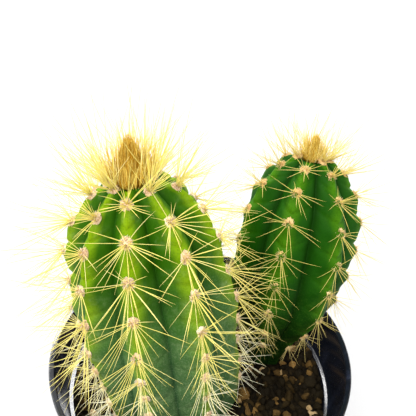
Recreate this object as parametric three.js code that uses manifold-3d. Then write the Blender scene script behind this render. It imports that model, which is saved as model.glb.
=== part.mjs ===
// Two tall ribbed cacti with golden spines, growing in gritty soil in one round nursery pot.
// Millimetres, +Z up, origin at the centre of the pot's flat base. The plant's front faces -Y, and
// azimuths are measured from -Y towards +X.

import * as THREE from "three";
import * as BufferGeometryUtils from "three/addons/utils/BufferGeometryUtils.js";
import Module from "manifold-3d";

const wasm = await Module();
wasm.setup();

// ---- driving dimensions -------------------------------------------------------------------------

const seat = 0.3; // clearance left between two pieces that touch

const pot = {
  rimRadius: 60,
  height: 105,
  baseRadius: 43,
  wall: 1.4,
  collarHeight: 19.5, // from the ledge inside up to the rim
  collarTaper: 3.5, // how far the collar leans out over its height
  ledgeWidth: 1.8,
  lip: 1.4, // how far the rim's bead stands out
  floor: 2.6,
  drainHoles: 8,
  drainRadius: 4,
  drainCircle: 33,
  sides: 54,
};
const ledgeZ = pot.height - pot.collarHeight;
const ledgeOuter = pot.rimRadius - pot.lip - pot.wall - pot.collarTaper + 1.2;
const ledgeInner = ledgeOuter - pot.ledgeWidth;
const footInner = pot.baseRadius - pot.wall;

const soil = {
  top: ledgeZ,
  relief: 1.1,
  cell: 7, // size of the surface's crumbs
  grains: 40,
  grainRadius: 2.9,
};

const stems = {
  main: {
    foot: new THREE.Vector3(-8.6, -10, soil.top),
    crown: new THREE.Vector3(-22.7, -20.2, 184.5),
    bow: -0.6, // sideways bulge of the axis at half height, along X
    ribs: 8,
    ribAzimuth: 4.5,
    ribShifts: [0, -3, -3, 1, 5, 8.5, 12, 7.5], // degrees that each rib stands off even spacing
    twist: -15.2, // degrees from crown to foot
    girth: [24.5, 26.5, 26.4, 27.4, 24.1], // crest radius from the foot to the shoulder
    shoulder: 0.7, // share of the height where the dome begins
    domePower: 1.9,
    furrow: [2.6, 6.4], // furrow depth at the foot and at the shoulder
    burial: 12,
    firstAreoles: [10.7, 8.7, 13.3, 10, 12.5, 9.5, 11.7, 15.2], // below the crown's middle, by rib
    spacing: 10.1,
    spacingSwell: 3.2, // extra spacing, most of it where the next two say
    swellPlace: 37,
    swellReach: 11,
    spineLength: 14.5,
    spines: [[0, 40], [72, 26], [144, 56], [-144, 24], [-72, 26]], // turn from up the rib, and lift
    tuftHeight: 26,
  },
  rear: {
    foot: new THREE.Vector3(28.8, 13.2, soil.top),
    crown: new THREE.Vector3(37, 16.7, 181.2),
    bow: 1.3,
    ribs: 7,
    ribAzimuth: -25.7,
    ribShifts: [0, 0, 0, 0, 0, 0, 0],
    twist: 6.1,
    girth: [10, 13.9, 21.4, 23.6, 23.4],
    shoulder: 0.64,
    domePower: 1.9,
    furrow: [1.6, 5],
    burial: 10,
    firstAreoles: [10.6, 12.1, 13.4, 11.2, 12.6, 10.9, 12.8],
    spacing: 12.8,
    spacingSwell: -3.6,
    swellPlace: 10,
    swellReach: 14,
    spineLength: 13.5,
    spines: [[0, 40], [72, 26], [144, 58], [-144, 22], [-72, 26]],
    tuftHeight: 21,
  },
};
const crownSeatRadius = 6.2; // flat hollow at the very top, where the tuft sits
const areole = { radius: 1.9, edge: 0.1, height: 1.7, root: 3, sides: 5, spineShare: 0.3 };
const spineRootRadius = 0.42;
const columnsPerRib = 5;

// ---- small helpers ------------------------------------------------------------------------------

const radians = THREE.MathUtils.degToRad;
const lerp = THREE.MathUtils.lerp;
const clamp = THREE.MathUtils.clamp;

/** A repeatable number in 0..1 for whole-number inputs. */
function scatter(...seeds) {
  const weights = [12.9898, 78.233, 37.719, 4.581];
  const mixed = seeds.reduce((sum, seed, i) => sum + seed * weights[i], 1);
  const value = Math.sin(mixed) * 43758.5453;
  return value - Math.floor(value);
}

/** Closed geometry to manifold solid. */
function toSolid(geometry) {
  const bare = geometry.clone();
  bare.deleteAttribute("normal");
  bare.deleteAttribute("uv");
  const merged = BufferGeometryUtils.mergeVertices(bare, 1e-4);
  return new wasm.Manifold(new wasm.Mesh({
    numProp: 3,
    vertProperties: Float32Array.from(merged.attributes.position.array),
    triVerts: Uint32Array.from(merged.index.array),
  }));
}

/** Manifold solid back to geometry. */
function toGeometry(solid) {
  const mesh = solid.getMesh();
  const geometry = new THREE.BufferGeometry();
  geometry.setAttribute("position", new THREE.BufferAttribute(mesh.vertProperties, 3));
  geometry.setIndex(new THREE.BufferAttribute(mesh.triVerts, 1));
  geometry.computeVertexNormals();
  return geometry;
}

/** Joins solids pairwise, so that no join works on more than it must. */
function joinAll(solids) {
  let list = solids;
  while (list.length > 1) {
    const next = [];
    for (let i = 0; i < list.length; i += 2) {
      next.push(i + 1 < list.length ? list[i].add(list[i + 1]) : list[i]);
    }
    list = next;
  }
  return list[0];
}

/** The outer skin of a solid: hollows sealed by a join are filled and loose scraps dropped. */
function outerSkin(solid) {
  return solid.decompose().reduce((best, part) => (part.volume() > best.volume() ? part : best));
}

/** Closed skin through rings of points listed from the bottom up, each anticlockwise from above. */
function loft(rings, bottom, top) {
  const count = rings[0].length;
  const points = [...rings.flat(), bottom, top];
  const faces = [];
  const bottomIndex = points.length - 2;
  const topIndex = points.length - 1;
  const last = (rings.length - 1) * count;
  for (let i = 0; i < count; i += 1) {
    const j = (i + 1) % count;
    faces.push(bottomIndex, j, i);
    for (let row = 0; row < rings.length - 1; row += 1) {
      const low = row * count;
      const high = low + count;
      faces.push(low + i, low + j, high + j, low + i, high + j, high + i);
    }
    faces.push(last + i, last + j, topIndex);
  }
  const geometry = new THREE.BufferGeometry().setFromPoints(points);
  geometry.setIndex(faces);
  return geometry;
}

function lathe(profile, sides) {
  const points = profile.map(([r, z]) => new THREE.Vector2(r, z));
  const geometry = new THREE.LatheGeometry(points, sides);
  geometry.rotateX(Math.PI / 2); // the lathe's axis is Y; stand it up along Z
  return geometry;
}

// ---- pot ----------------------------------------------------------------------------------------

function makePot() {
  const rim = pot.rimRadius;
  const top = pot.height;
  const wall = pot.wall;
  const profile = [
    [0, 0],
    [pot.baseRadius - 1.2, 0],
    [pot.baseRadius, 1.2],
    [ledgeInner + wall, ledgeZ - 2.3],
    [ledgeOuter + wall + 0.2, ledgeZ - 1.1],
    [rim - pot.lip, top - 3.2],
    [rim, top - 2.6],
    [rim, top - 0.6],
    [rim - 0.5, top],
    [rim - 1.2, top],
    [rim - 1.8, top - 0.6],
    [ledgeOuter, ledgeZ + 0.4],
    [ledgeInner, ledgeZ],
    [footInner, pot.floor],
    [0, pot.floor],
  ];
  let body = toSolid(lathe(profile, pot.sides));
  for (let i = 0; i < pot.drainHoles; i += 1) {
    const angle = (i / pot.drainHoles) * 2 * Math.PI;
    const hole = new THREE.CylinderGeometry(pot.drainRadius, pot.drainRadius, pot.floor * 3, 12);
    hole.rotateX(Math.PI / 2);
    hole.translate(pot.drainCircle * Math.cos(angle), pot.drainCircle * Math.sin(angle), pot.floor / 2);
    body = body.subtract(toSolid(hole));
  }
  return toGeometry(body);
}

// ---- stems --------------------------------------------------------------------------------------

/** Smooth curve through evenly spaced values. */
function through(values, share) {
  const last = values.length - 1;
  const x = clamp(share, 0, 1) * last;
  const i = Math.min(Math.floor(x), last - 1);
  const t = x - i;
  const [a, b] = [values[i], values[i + 1]];
  const before = values[Math.max(i - 1, 0)];
  const after = values[Math.min(i + 2, last)];
  const [slopeA, slopeB] = [(b - before) / 2, (after - a) / 2];
  return a + slopeA * t + (3 * (b - a) - 2 * slopeA - slopeB) * t * t
    + (2 * (a - b) + slopeA + slopeB) * t * t * t;
}

/** Radius of the rib crests at share s of the height. */
function crestRadius(stem, s) {
  const dome = clamp((s - stem.shoulder) / (1 - stem.shoulder), 0, 1);
  return through(stem.girth, s / stem.shoulder) * (1 - dome ** stem.domePower) ** (1 / stem.domePower);
}

function axisPoint(stem, s) {
  const point = stem.foot.clone().lerp(stem.crown, s);
  point.x += 4 * s * (1 - s) * stem.bow;
  return point;
}

/** Point at share s and azimuth, with rings square to the leaning axis. */
function ringPoint(stem, s, azimuth, radius) {
  const point = axisPoint(stem, s);
  const x = radius * Math.sin(azimuth);
  const y = -radius * Math.cos(azimuth);
  const rise = stem.crown.z - stem.foot.z;
  const leanX = (stem.crown.x - stem.foot.x) / rise;
  const leanY = (stem.crown.y - stem.foot.y) / rise;
  return point.add(new THREE.Vector3(x, y, -leanX * x - leanY * y));
}

/** Azimuth of rib coordinate q, a whole number on a crest and a half in a furrow. */
function ribAngle(stem, q, s) {
  const before = Math.floor(q);
  const [shiftA, shiftB] = [before, before + 1].map((rib) => stem.ribShifts.at(rib % stem.ribs));
  const shift = lerp(shiftA, shiftB, q - before);
  return radians(stem.ribAzimuth + shift + (q * 360) / stem.ribs + stem.twist * (1 - s));
}

/** Furrow depth at share s: shallow at the foot, deep at the shoulder, fading into the crown. */
function furrowDepth(stem, s) {
  const full = lerp(stem.furrow[0], stem.furrow[1], clamp(s / 0.6, 0, 1));
  const slimness = crestRadius(stem, s) / Math.max(...stem.girth);
  return full * Math.min(1, slimness * 1.2);
}

function skinPoint(stem, s, q, grow = 0) {
  const offCrest = Math.abs(q - Math.round(q)) * 2;
  const dip = furrowDepth(stem, s) * Math.pow(offCrest, 1.6);
  return ringPoint(stem, s, ribAngle(stem, q, s), crestRadius(stem, s) - dip + grow);
}

/** Rings of the part of the stem under the soil, round and narrowing to the root end. */
function buriedRings(stem, columns, grow) {
  return [1, 0.6, 0.25].map((depth) => {
    const shrink = 1 - 0.4 * depth * depth;
    return columns.map((q) => {
      const point = ringPoint(stem, 0, ribAngle(stem, q, 0), stem.girth[0] * shrink - 1.4 + grow);
      point.z -= depth * stem.burial + grow;
      return point;
    });
  });
}

function stemColumns(stem) {
  const count = stem.ribs * columnsPerRib;
  return Array.from({ length: count }, (_, i) => i / columnsPerRib - 0.5);
}

/** Plane of the flat hollow in the crown: a point on the axis there. */
function crownSeat(stem) {
  const s = 1 - (crownSeatRadius / Math.max(...stem.girth)) ** 2 * 0.5 * (1 - stem.shoulder);
  const drop = 1.2 / (stem.crown.z - stem.foot.z);
  return axisPoint(stem, s - drop);
}

function makeStemBody(stem) {
  const columns = stemColumns(stem);
  const rings = buriedRings(stem, columns, 0);
  for (let row = 0; row <= 11; row += 1) {
    const s = (row / 11) * stem.shoulder;
    rings.push(columns.map((q) => skinPoint(stem, s, q)));
  }
  for (const climb of [18, 34, 48, 60, 70]) {
    const s = stem.shoulder + (1 - stem.shoulder) * Math.sin(radians(climb));
    rings.push(columns.map((q) => skinPoint(stem, s, q)));
  }
  const seatPoint = crownSeat(stem);
  const hollowS = (seatPoint.z - stem.foot.z) / (stem.crown.z - stem.foot.z);
  rings.push(columns.map((q) => ringPoint(stem, hollowS, ribAngle(stem, q, 1), crownSeatRadius)));
  const rootEnd = stem.foot.clone();
  rootEnd.z -= stem.burial;
  return toSolid(loft(rings, rootEnd, ringPoint(stem, hollowS, 0, 0)));
}

/** Hole that the stem stands in, a clearance wider than its buried end. */
function makeStemHole(stem) {
  const columns = stemColumns(stem);
  const rings = buriedRings(stem, columns, seat);
  for (const s of [0, 0.05, 0.1]) {
    rings.push(columns.map((q) => skinPoint(stem, s, q, seat)));
  }
  const rootEnd = stem.foot.clone();
  rootEnd.z -= stem.burial + seat;
  return toSolid(loft(rings, rootEnd, axisPoint(stem, 0.1)));
}

// ---- areoles and spines -------------------------------------------------------------------------

/** Shares of the height of one rib's areoles, from the crown down. */
function areoleShares(stem, rib) {
  const shares = [];
  const step = 0.002;
  let travelled = 0;
  let next = stem.firstAreoles[rib];
  let previous = skinPoint(stem, 1, rib);
  for (let s = 1 - step; s > 0.045; s -= step) {
    const point = skinPoint(stem, s, rib);
    travelled += point.distanceTo(previous);
    previous = point;
    if (travelled >= next) {
      shares.push(s);
      const offPlace = (next - stem.swellPlace) / stem.swellReach;
      next += stem.spacing + stem.spacingSwell * Math.exp(-(offPlace ** 2));
    }
  }
  return shares;
}

/** Place and directions of an areole: out of the rib, up the rib and across it. */
function areoleFrame(stem, rib, s) {
  const point = skinPoint(stem, s, rib);
  const up = skinPoint(stem, Math.min(s + 0.01, 1), rib).sub(skinPoint(stem, s - 0.01, rib)).normalize();
  const azimuth = ribAngle(stem, rib, s);
  const across = new THREE.Vector3(Math.cos(azimuth), Math.sin(azimuth), 0);
  const out = across.clone().cross(up).normalize();
  across.crossVectors(up, out).normalize();
  return { point, out, up, across };
}

/** Corners of the low five-sided pad of wool that an areole's spines grow from. */
function padCorners({ point, out, up }) {
  const ring = Array.from({ length: areole.sides }, (_, i) => {
    const side = up.clone().applyAxisAngle(out, ((i - 0.5) / areole.sides) * 2 * Math.PI);
    return point.clone().addScaledVector(side, areole.radius).addScaledVector(out, areole.edge);
  });
  const top = point.clone().addScaledVector(out, areole.height);
  const bottom = point.clone().addScaledVector(out, -areole.root);
  return { ring, top, bottom };
}

/** Middle of one sloping face of a pad, where its spine stands. */
function padFaceCentre({ ring, top }, i) {
  const next = ring[(i + 1) % ring.length];
  return ring[i].clone().add(next).add(top).divideScalar(3);
}

/** A pad with one three-sided spine drawn out of each face that has a tip. */
function makeAreole(frame, tips) {
  const corners = padCorners(frame);
  const points = [...corners.ring, corners.top, corners.bottom];
  const sides = areole.sides;
  const faces = [];
  tips.forEach((tip, i) => {
    const j = (i + 1) % sides;
    const outline = [i, j, sides];
    faces.push(j, i, sides + 1);
    if (tip === null) {
      faces.push(...outline);
      return;
    }
    const centre = padFaceCentre(corners, i);
    const first = points.length;
    outline.forEach((corner) => points.push(centre.clone().lerp(points[corner], areole.spineShare)));
    points.push(tip);
    for (let k = 0; k < 3; k += 1) {
      const n = (k + 1) % 3;
      faces.push(outline[k], outline[n], first + n, outline[k], first + n, first + k);
      faces.push(first + k, first + n, first + 3);
    }
  });
  const geometry = new THREE.BufferGeometry().setFromPoints(points);
  geometry.setIndex(faces);
  return toSolid(geometry);
}

/** Three-sided spine from a root to a tip. */
function makeSpine(root, tip) {
  const along = tip.clone().sub(root).normalize();
  const helper = Math.abs(along.z) < 0.9 ? new THREE.Vector3(0, 0, 1) : new THREE.Vector3(1, 0, 0);
  const side = helper.cross(along).normalize();
  const ring = [0, 1, 2].map((i) => (
    root.clone().addScaledVector(side.clone().applyAxisAngle(along, (i * 2 * Math.PI) / 3), spineRootRadius)
  ));
  const geometry = new THREE.BufferGeometry().setFromPoints([...ring, tip]);
  geometry.setIndex([0, 2, 1, 0, 1, 3, 1, 2, 3, 2, 0, 3]);
  return toSolid(geometry);
}

/** Shortest distance between two straight stretches, sampled finely enough for spines. */
function stretchDistance(a, b) {
  const line = new THREE.Line3(b.root, b.tip);
  const point = new THREE.Vector3();
  const nearest = new THREE.Vector3();
  let best = Infinity;
  for (let i = 0; i <= 24; i += 1) {
    point.lerpVectors(a.root, a.tip, i / 24);
    line.closestPointToPoint(point, true, nearest);
    best = Math.min(best, nearest.distanceTo(point));
  }
  return best;
}

function insideStem(stem, point, margin) {
  const s = (point.z - stem.foot.z) / (stem.crown.z - stem.foot.z);
  if (s > 1 + margin / 90) {
    return false;
  }
  const centre = axisPoint(stem, clamp(s, 0, 1));
  const reach = s > stem.shoulder ? crestRadius(stem, Math.max(stem.shoulder, s - 0.06)) : crestRadius(stem, s);
  return Math.hypot(point.x - centre.x, point.y - centre.y) < reach + margin;
}

/** True where a spine stays clear of the pot, the soil, the other stem and the other nodes' spines. */
function isClear(spine, otherStem, otherSpines) {
  const point = new THREE.Vector3();
  for (let i = 2; i <= 8; i += 1) {
    point.lerpVectors(spine.root, spine.tip, i / 8);
    const radius = Math.hypot(point.x, point.y);
    const nearCollar = point.z < pot.height + 1.5 && radius > ledgeOuter - 1.5;
    const nearSoil = point.z < soil.top + 3.6;
    if (nearCollar || nearSoil || insideStem(otherStem, point, 1.6)) {
      return false;
    }
  }
  return otherSpines.every((other) => stretchDistance(spine, other) > 1.1);
}

/** One spine of an areole, turned outwards until it is clear, or null where it never is. */
function layOutSpine(stem, frame, root, [turn, lift], seeds, otherStem, otherSpines) {
  const around = radians(turn + (scatter(...seeds, 1) - 0.5) * 26);
  const length = stem.spineLength * (0.85 + 0.3 * scatter(...seeds, 3));
  for (let attempt = 0; attempt < 5; attempt += 1) {
    const above = radians(lift + (scatter(...seeds, 2) - 0.5) * 14 + attempt * 11);
    const heading = frame.out.clone().multiplyScalar(Math.sin(above))
      .addScaledVector(frame.up, Math.cos(above) * Math.cos(around))
      .addScaledVector(frame.across, -Math.cos(above) * Math.sin(around));
    const tip = frame.point.clone().addScaledVector(heading, length * (1 - 0.08 * attempt));
    const spine = { root, tip };
    if (isClear(spine, otherStem, otherSpines)) {
      return spine;
    }
  }
  return null;
}

/** The areoles of one stem, from the crown down each rib, with the spines that stand clear. */
function layOutAreoles(stem, otherStem, otherSpines) {
  const laid = [];
  for (let rib = 0; rib < stem.ribs; rib += 1) {
    areoleShares(stem, rib).forEach((s, row) => {
      const frame = areoleFrame(stem, rib, s);
      const corners = padCorners(frame);
      const spines = stem.spines.map((aim, k) => (
        layOutSpine(stem, frame, padFaceCentre(corners, k), aim, [rib, row, k], otherStem, otherSpines)
      ));
      laid.push({ frame, spines });
    });
  }
  return laid;
}

function spinesOf(areoles) {
  return areoles.flatMap(({ spines }) => spines).filter((spine) => spine !== null);
}

/** The tuft on a crown: a tapering core of wool and the young upright spines in it. */
function layOutTuft(stem) {
  const base = crownSeat(stem);
  const axis = stem.crown.clone().sub(stem.foot).normalize();
  const laid = [];
  const count = 34;
  for (let i = 0; i < count; i += 1) {
    const share = (i + 0.5) / count;
    const azimuth = i * radians(137.5);
    const outward = new THREE.Vector3(Math.sin(azimuth), -Math.cos(azimuth), 0);
    const tilt = radians(44 * share + 6 * scatter(i, stem.ribs));
    const heading = new THREE.Vector3(0, 0, Math.cos(tilt)).addScaledVector(outward, Math.sin(tilt));
    const length = stem.tuftHeight * (1 - 0.3 * share - 0.12 * scatter(i, 7, stem.ribs));
    const root = base.clone().addScaledVector(axis, 1.6).addScaledVector(outward, 3.4 * share);
    laid.push({ root, tip: base.clone().addScaledVector(heading, length) });
  }
  return laid;
}

function makeTuft(stem, spines) {
  const height = stem.tuftHeight * 0.52;
  const profile = [[0, 0], [5.2, 0], [5, height * 0.25], [2.8, height * 0.65], [0, height]];
  const core = lathe(profile, 8);
  const axis = stem.crown.clone().sub(stem.foot).normalize();
  core.applyQuaternion(new THREE.Quaternion().setFromUnitVectors(new THREE.Vector3(0, 0, 1), axis));
  const base = crownSeat(stem).addScaledVector(axis, seat);
  core.translate(base.x, base.y, base.z);
  return toGeometry(outerSkin(joinAll([toSolid(core), ...spines.map(({ root, tip }) => makeSpine(root, tip))])));
}

function makeStem(stem, areoles) {
  const stars = areoles.map(({ frame, spines }) => (
    makeAreole(frame, spines.map((spine) => (spine === null ? null : spine.tip)))
  ));
  return toGeometry(outerSkin(joinAll([makeStemBody(stem), ...stars])));
}

// ---- soil ---------------------------------------------------------------------------------------

/** Block with a crumbled top, larger than the pot all round. */
function makeCrumbs() {
  const size = 2 * pot.rimRadius;
  const cells = Math.round(size / soil.cell);
  const depth = soil.top + 10;
  const block = new THREE.BoxGeometry(size, size, depth, cells, cells, 1);
  block.translate(0, 0, soil.top - depth / 2);
  const position = block.attributes.position;
  for (let i = 0; i < position.count; i += 1) {
    const [x, y, z] = [position.getX(i), position.getY(i), position.getZ(i)];
    const [column, row] = [Math.round(x / soil.cell), Math.round(y / soil.cell)];
    const inside = Math.max(Math.abs(x), Math.abs(y)) < pot.rimRadius - 1;
    if (z > soil.top - 1 && inside) {
      position.setXYZ(
        i,
        x + (scatter(column, row, 1) - 0.5) * soil.cell * 0.5,
        y + (scatter(column, row, 2) - 0.5) * soil.cell * 0.5,
        z + (scatter(column, row, 3) - 0.5) * 2 * soil.relief,
      );
    }
  }
  return toSolid(block);
}

/** Angular grit lying half sunk in the surface. */
function makeGrains() {
  const grains = [];
  for (let i = 0; i < soil.grains; i += 1) {
    const reach = (ledgeInner - 4) * Math.sqrt((i + 0.5) / soil.grains);
    const angle = i * radians(137.5);
    const centre = new THREE.Vector3(reach * Math.cos(angle), reach * Math.sin(angle), soil.top);
    const nearStem = Object.values(stems).some((stem) => insideStem(stem, centre, soil.grainRadius + 1.6));
    if (!nearStem) {
      const grain = new THREE.OctahedronGeometry(soil.grainRadius * (0.75 + 0.35 * scatter(i, 5)), 0);
      grain.scale(1, 0.8, 0.72);
      grain.rotateX(scatter(i, 1) * 0.9);
      grain.rotateZ(scatter(i, 2) * 2 * Math.PI);
      grain.translate(centre.x, centre.y, centre.z + 0.5);
      grains.push(toSolid(grain));
    }
  }
  return grains;
}

function makeSoil() {
  const bottom = pot.floor + seat;
  const profile = [
    [0, bottom],
    [footInner - seat, bottom],
    [ledgeInner - seat, ledgeZ],
    [ledgeInner - seat, ledgeZ + 6],
    [0, ledgeZ + 6],
  ];
  let body = toSolid(lathe(profile, pot.sides)).intersect(makeCrumbs());
  body = joinAll([body, ...makeGrains()]);
  for (const stem of Object.values(stems)) {
    body = body.subtract(makeStemHole(stem));
  }
  return toGeometry(outerSkin(body));
}

// ---- assembly -----------------------------------------------------------------------------------

const finishes = {
  pot: { color: "#0b0c0e", roughness: 0.22 },
  soil: { color: "#4a3a26", roughness: 0.95 },
  stem_main: { color: "#5f8f2a", roughness: 0.5 },
  stem_rear: { color: "#2f7423", roughness: 0.5 },
  crown_main: { color: "#c8a548", roughness: 0.85 },
  crown_rear: { color: "#c39a4c", roughness: 0.85 },
};

function addPiece(group, name, geometry) {
  const material = new THREE.MeshStandardMaterial({ metalness: 0, ...finishes[name] });
  const mesh = new THREE.Mesh(geometry, material);
  mesh.name = name;
  group.add(mesh);
}

const { main, rear } = stems;
const mainTuft = layOutTuft(main);
const rearTuft = layOutTuft(rear);
const mainAreoles = layOutAreoles(main, rear, [...mainTuft, ...rearTuft]);
const mainSpines = spinesOf(mainAreoles);
const rearAreoles = layOutAreoles(rear, main, [...mainTuft, ...rearTuft, ...mainSpines]);

const group = new THREE.Group();
group.name = "potted_tall_cactus";
addPiece(group, "pot", makePot());
addPiece(group, "soil", makeSoil());
addPiece(group, "stem_main", makeStem(main, mainAreoles));
addPiece(group, "stem_rear", makeStem(rear, rearAreoles));
addPiece(group, "crown_main", makeTuft(main, mainTuft));
addPiece(group, "crown_rear", makeTuft(rear, rearTuft));

export default group;
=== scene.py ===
"""Looks of two tall ribbed cacti with golden spines, growing in gritty soil in a round black nursery pot.

Sizes are in millimetres, as in the solid model, and become metres where a mesh is made. +Z is up, the
origin is the centre of the pot's base, the plant's front faces -Y, and azimuths are measured from -Y
towards +X.
"""

import logging
import math
from dataclasses import dataclass, field
from enum import Enum
from typing import Any, Callable, Sequence

import bmesh
import bpy
import numpy as np
from mathutils import Matrix, Vector

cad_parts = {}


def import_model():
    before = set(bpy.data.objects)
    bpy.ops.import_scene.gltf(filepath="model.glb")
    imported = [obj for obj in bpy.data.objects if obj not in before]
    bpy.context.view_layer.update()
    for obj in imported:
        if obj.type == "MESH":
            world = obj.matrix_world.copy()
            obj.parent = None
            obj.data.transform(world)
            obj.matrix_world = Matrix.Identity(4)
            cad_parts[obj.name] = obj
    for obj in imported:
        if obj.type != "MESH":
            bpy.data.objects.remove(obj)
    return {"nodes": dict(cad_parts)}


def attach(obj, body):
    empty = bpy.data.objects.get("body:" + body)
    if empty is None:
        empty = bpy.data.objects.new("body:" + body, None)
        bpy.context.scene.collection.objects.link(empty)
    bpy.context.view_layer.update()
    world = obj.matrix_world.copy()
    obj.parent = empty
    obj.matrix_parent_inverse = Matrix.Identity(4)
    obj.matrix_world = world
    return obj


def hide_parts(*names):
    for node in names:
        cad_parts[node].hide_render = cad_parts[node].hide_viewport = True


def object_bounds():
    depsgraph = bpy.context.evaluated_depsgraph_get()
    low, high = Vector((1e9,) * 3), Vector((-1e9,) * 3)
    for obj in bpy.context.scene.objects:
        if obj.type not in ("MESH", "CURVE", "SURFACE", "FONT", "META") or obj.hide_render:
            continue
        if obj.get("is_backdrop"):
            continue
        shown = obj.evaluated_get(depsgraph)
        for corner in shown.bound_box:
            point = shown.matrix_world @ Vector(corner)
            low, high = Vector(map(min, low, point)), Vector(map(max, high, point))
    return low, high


MM = 0.001
BODY = "root"
LOG = logging.getLogger("potted_cactus")

Array = np.ndarray
Colour = tuple[float, float, float, float]
Profile = Sequence[tuple[float, float]]


# ---- numbers --------------------------------------------------------------------------------------


def srgb(red: float, green: float, blue: float) -> Colour:
    """Turns a colour given in 0..255 screen values into the linear values that shaders use.

    Args:
        red: Red on screen.
        green: Green on screen.
        blue: Blue on screen.

    Returns:
        The colour in linear light, with full alpha.
    """
    parts = [c / 255 for c in (red, green, blue)]
    linear = [c / 12.92 if c <= 0.04045 else ((c + 0.055) / 1.055) ** 2.4 for c in parts]
    return (linear[0], linear[1], linear[2], 1.0)


def unit(vectors: Array) -> Array:
    """Scales vectors, held along the last axis, to length one."""
    return vectors / np.maximum(np.linalg.norm(vectors, axis=-1, keepdims=True), 1e-12)


def bell(distance: Array, width: float) -> Array:
    """Smooth bump that is one at distance zero and fades over about the width."""
    return np.exp(-((distance / width) ** 2))


def through(values: Sequence[float], share: Array) -> Array:
    """Smooth curve through evenly spaced values.

    Args:
        values: The values, from the start to the end.
        share: Where to read the curve, 0 at the start and 1 at the end.

    Returns:
        The curve's value at each share.
    """
    held = np.asarray(values, float)
    last = len(held) - 1
    x = np.clip(share, 0, 1) * last
    i = np.minimum(np.floor(x).astype(int), last - 1)
    t = x - i
    a, b = held[i], held[i + 1]
    slope_a = (b - held[np.maximum(i - 1, 0)]) / 2
    slope_b = (held[np.minimum(i + 2, last)] - a) / 2
    square = 3 * (b - a) - 2 * slope_a - slope_b
    cube = 2 * (a - b) + slope_a + slope_b
    return a + slope_a * t + square * t**2 + cube * t**3


def round_turn(sides: int) -> Array:
    """Evenly spaced angles once round, in radians."""
    return np.arange(sides) * 2 * math.pi / sides


def compass(angle: Array, first: Array, second: Array) -> Array:
    """Directions at angles measured from a first direction towards a second one."""
    return np.cos(angle)[:, None] * first + np.sin(angle)[:, None] * second


def travelled(points: Array) -> Array:
    """Length of a line of points up to each of them."""
    return np.concatenate([[0], np.cumsum(np.linalg.norm(np.diff(points, axis=0), axis=1))])


def lumps(points: Array, size: float, seed: int) -> Array:
    """Smooth repeatable unevenness in -1..1, made of a few crossing waves.

    Args:
        points: Points in millimetres, along the last axis.
        size: Rough size of one lump.
        seed: Picks another pattern.

    Returns:
        One value a point.
    """
    rng = np.random.default_rng(seed)
    total = np.zeros(points.shape[:-1])
    waves, tallest_sum = 7, 3.2
    for _ in range(waves):
        heading = unit(rng.normal(size=3)) * (2 * math.pi / size) * rng.uniform(0.6, 1.5)
        total += np.sin(points @ heading + rng.uniform(0, 2 * math.pi))
    return total / tallest_sum


# ---- meshes ---------------------------------------------------------------------------------------


def link_new(name: str, data: bpy.types.ID) -> bpy.types.Object:
    """Makes an object of some data and links it to the scene."""
    made = bpy.data.objects.new(name, data)
    bpy.context.scene.collection.objects.link(made)
    return made


@dataclass
class MeshDraft:
    """Points, faces and point values gathered for one mesh, in millimetres."""

    points: list[Array] = field(default_factory=list)
    faces: list[Array] = field(default_factory=list)
    slots: list[Array] = field(default_factory=list)
    values: dict[str, list[Array]] = field(default_factory=dict)
    count: int = 0

    def add(
        self,
        points: Array,
        faces: Array | Sequence[Array],
        slot: int = 0,
        **values: Array | float,
    ) -> None:
        """Adds a set of points with its faces.

        Args:
            points: The points, one a row.
            faces: One array of faces, or several, each row the corner numbers of a face.
            slot: Material slot of these faces.
            values: Named values, one a point or one for all.
        """
        flat = points.reshape(-1, 3)
        self.points.append(flat)
        for group in faces if isinstance(faces, (list, tuple)) else [faces]:
            self.faces.append(np.asarray(group, int) + self.count)
            self.slots.append(np.full(len(group), slot, int))
        for name, value in values.items():
            spread = np.broadcast_to(np.asarray(value, float), flat.shape[:1])
            self.values.setdefault(name, []).append(spread)
        self.count += len(flat)

    def build(self, name: str, materials: Sequence[bpy.types.Material]) -> bpy.types.Object:
        """Makes the mesh object, in metres.

        Args:
            name: Name of the object.
            materials: One material for each slot used.

        Returns:
            The new object, linked to the scene.
        """
        mesh = bpy.data.meshes.new(name)
        points = np.concatenate(self.points) * MM
        corners = np.concatenate([group.ravel() for group in self.faces])
        totals = np.concatenate([np.full(len(group), group.shape[1]) for group in self.faces])
        mesh.vertices.add(len(points))
        mesh.vertices.foreach_set("co", points.astype(np.float32).ravel())
        mesh.loops.add(len(corners))
        mesh.loops.foreach_set("vertex_index", corners.astype(np.int32))
        mesh.polygons.add(len(totals))
        mesh.polygons.foreach_set("loop_start", (np.cumsum(totals) - totals).astype(np.int32))
        mesh.polygons.foreach_set("loop_total", totals.astype(np.int32))
        mesh.polygons.foreach_set("material_index", np.concatenate(self.slots).astype(np.int32))
        mesh.polygons.foreach_set("use_smooth", np.full(len(totals), True))
        for key, parts in self.values.items():
            layer = mesh.attributes.new(key, "FLOAT", "POINT")
            layer.data.foreach_set("value", np.concatenate(parts).astype(np.float32))
        mesh.update(calc_edges=True)
        mesh.validate()
        for material in materials:
            mesh.materials.append(material)
        LOG.info("%s: %d points, %d faces", name, len(points), len(totals))
        return link_new(name, mesh)


def grid_faces(rows: int, columns: int) -> Array:
    """Four-cornered faces of rows of points that run all the way round, one above another.

    Args:
        rows: Number of rows.
        columns: Points in a row, anticlockwise from above.

    Returns:
        The faces, facing outwards.
    """
    row, column = np.meshgrid(np.arange(rows - 1), np.arange(columns), indexing="ij")
    low = (row * columns + column).ravel()
    side = (row * columns + (column + 1) % columns).ravel()
    return np.stack([low, side, side + columns, low + columns], axis=1)


def fan_faces(ring: Array, centre: int, upwards: bool) -> Array:
    """Three-cornered faces that close a ring of points to one point."""
    following = np.roll(ring, -1)
    middle = np.full(len(ring), centre)
    return np.stack([ring, following, middle] if upwards else [following, ring, middle], axis=1)


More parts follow.
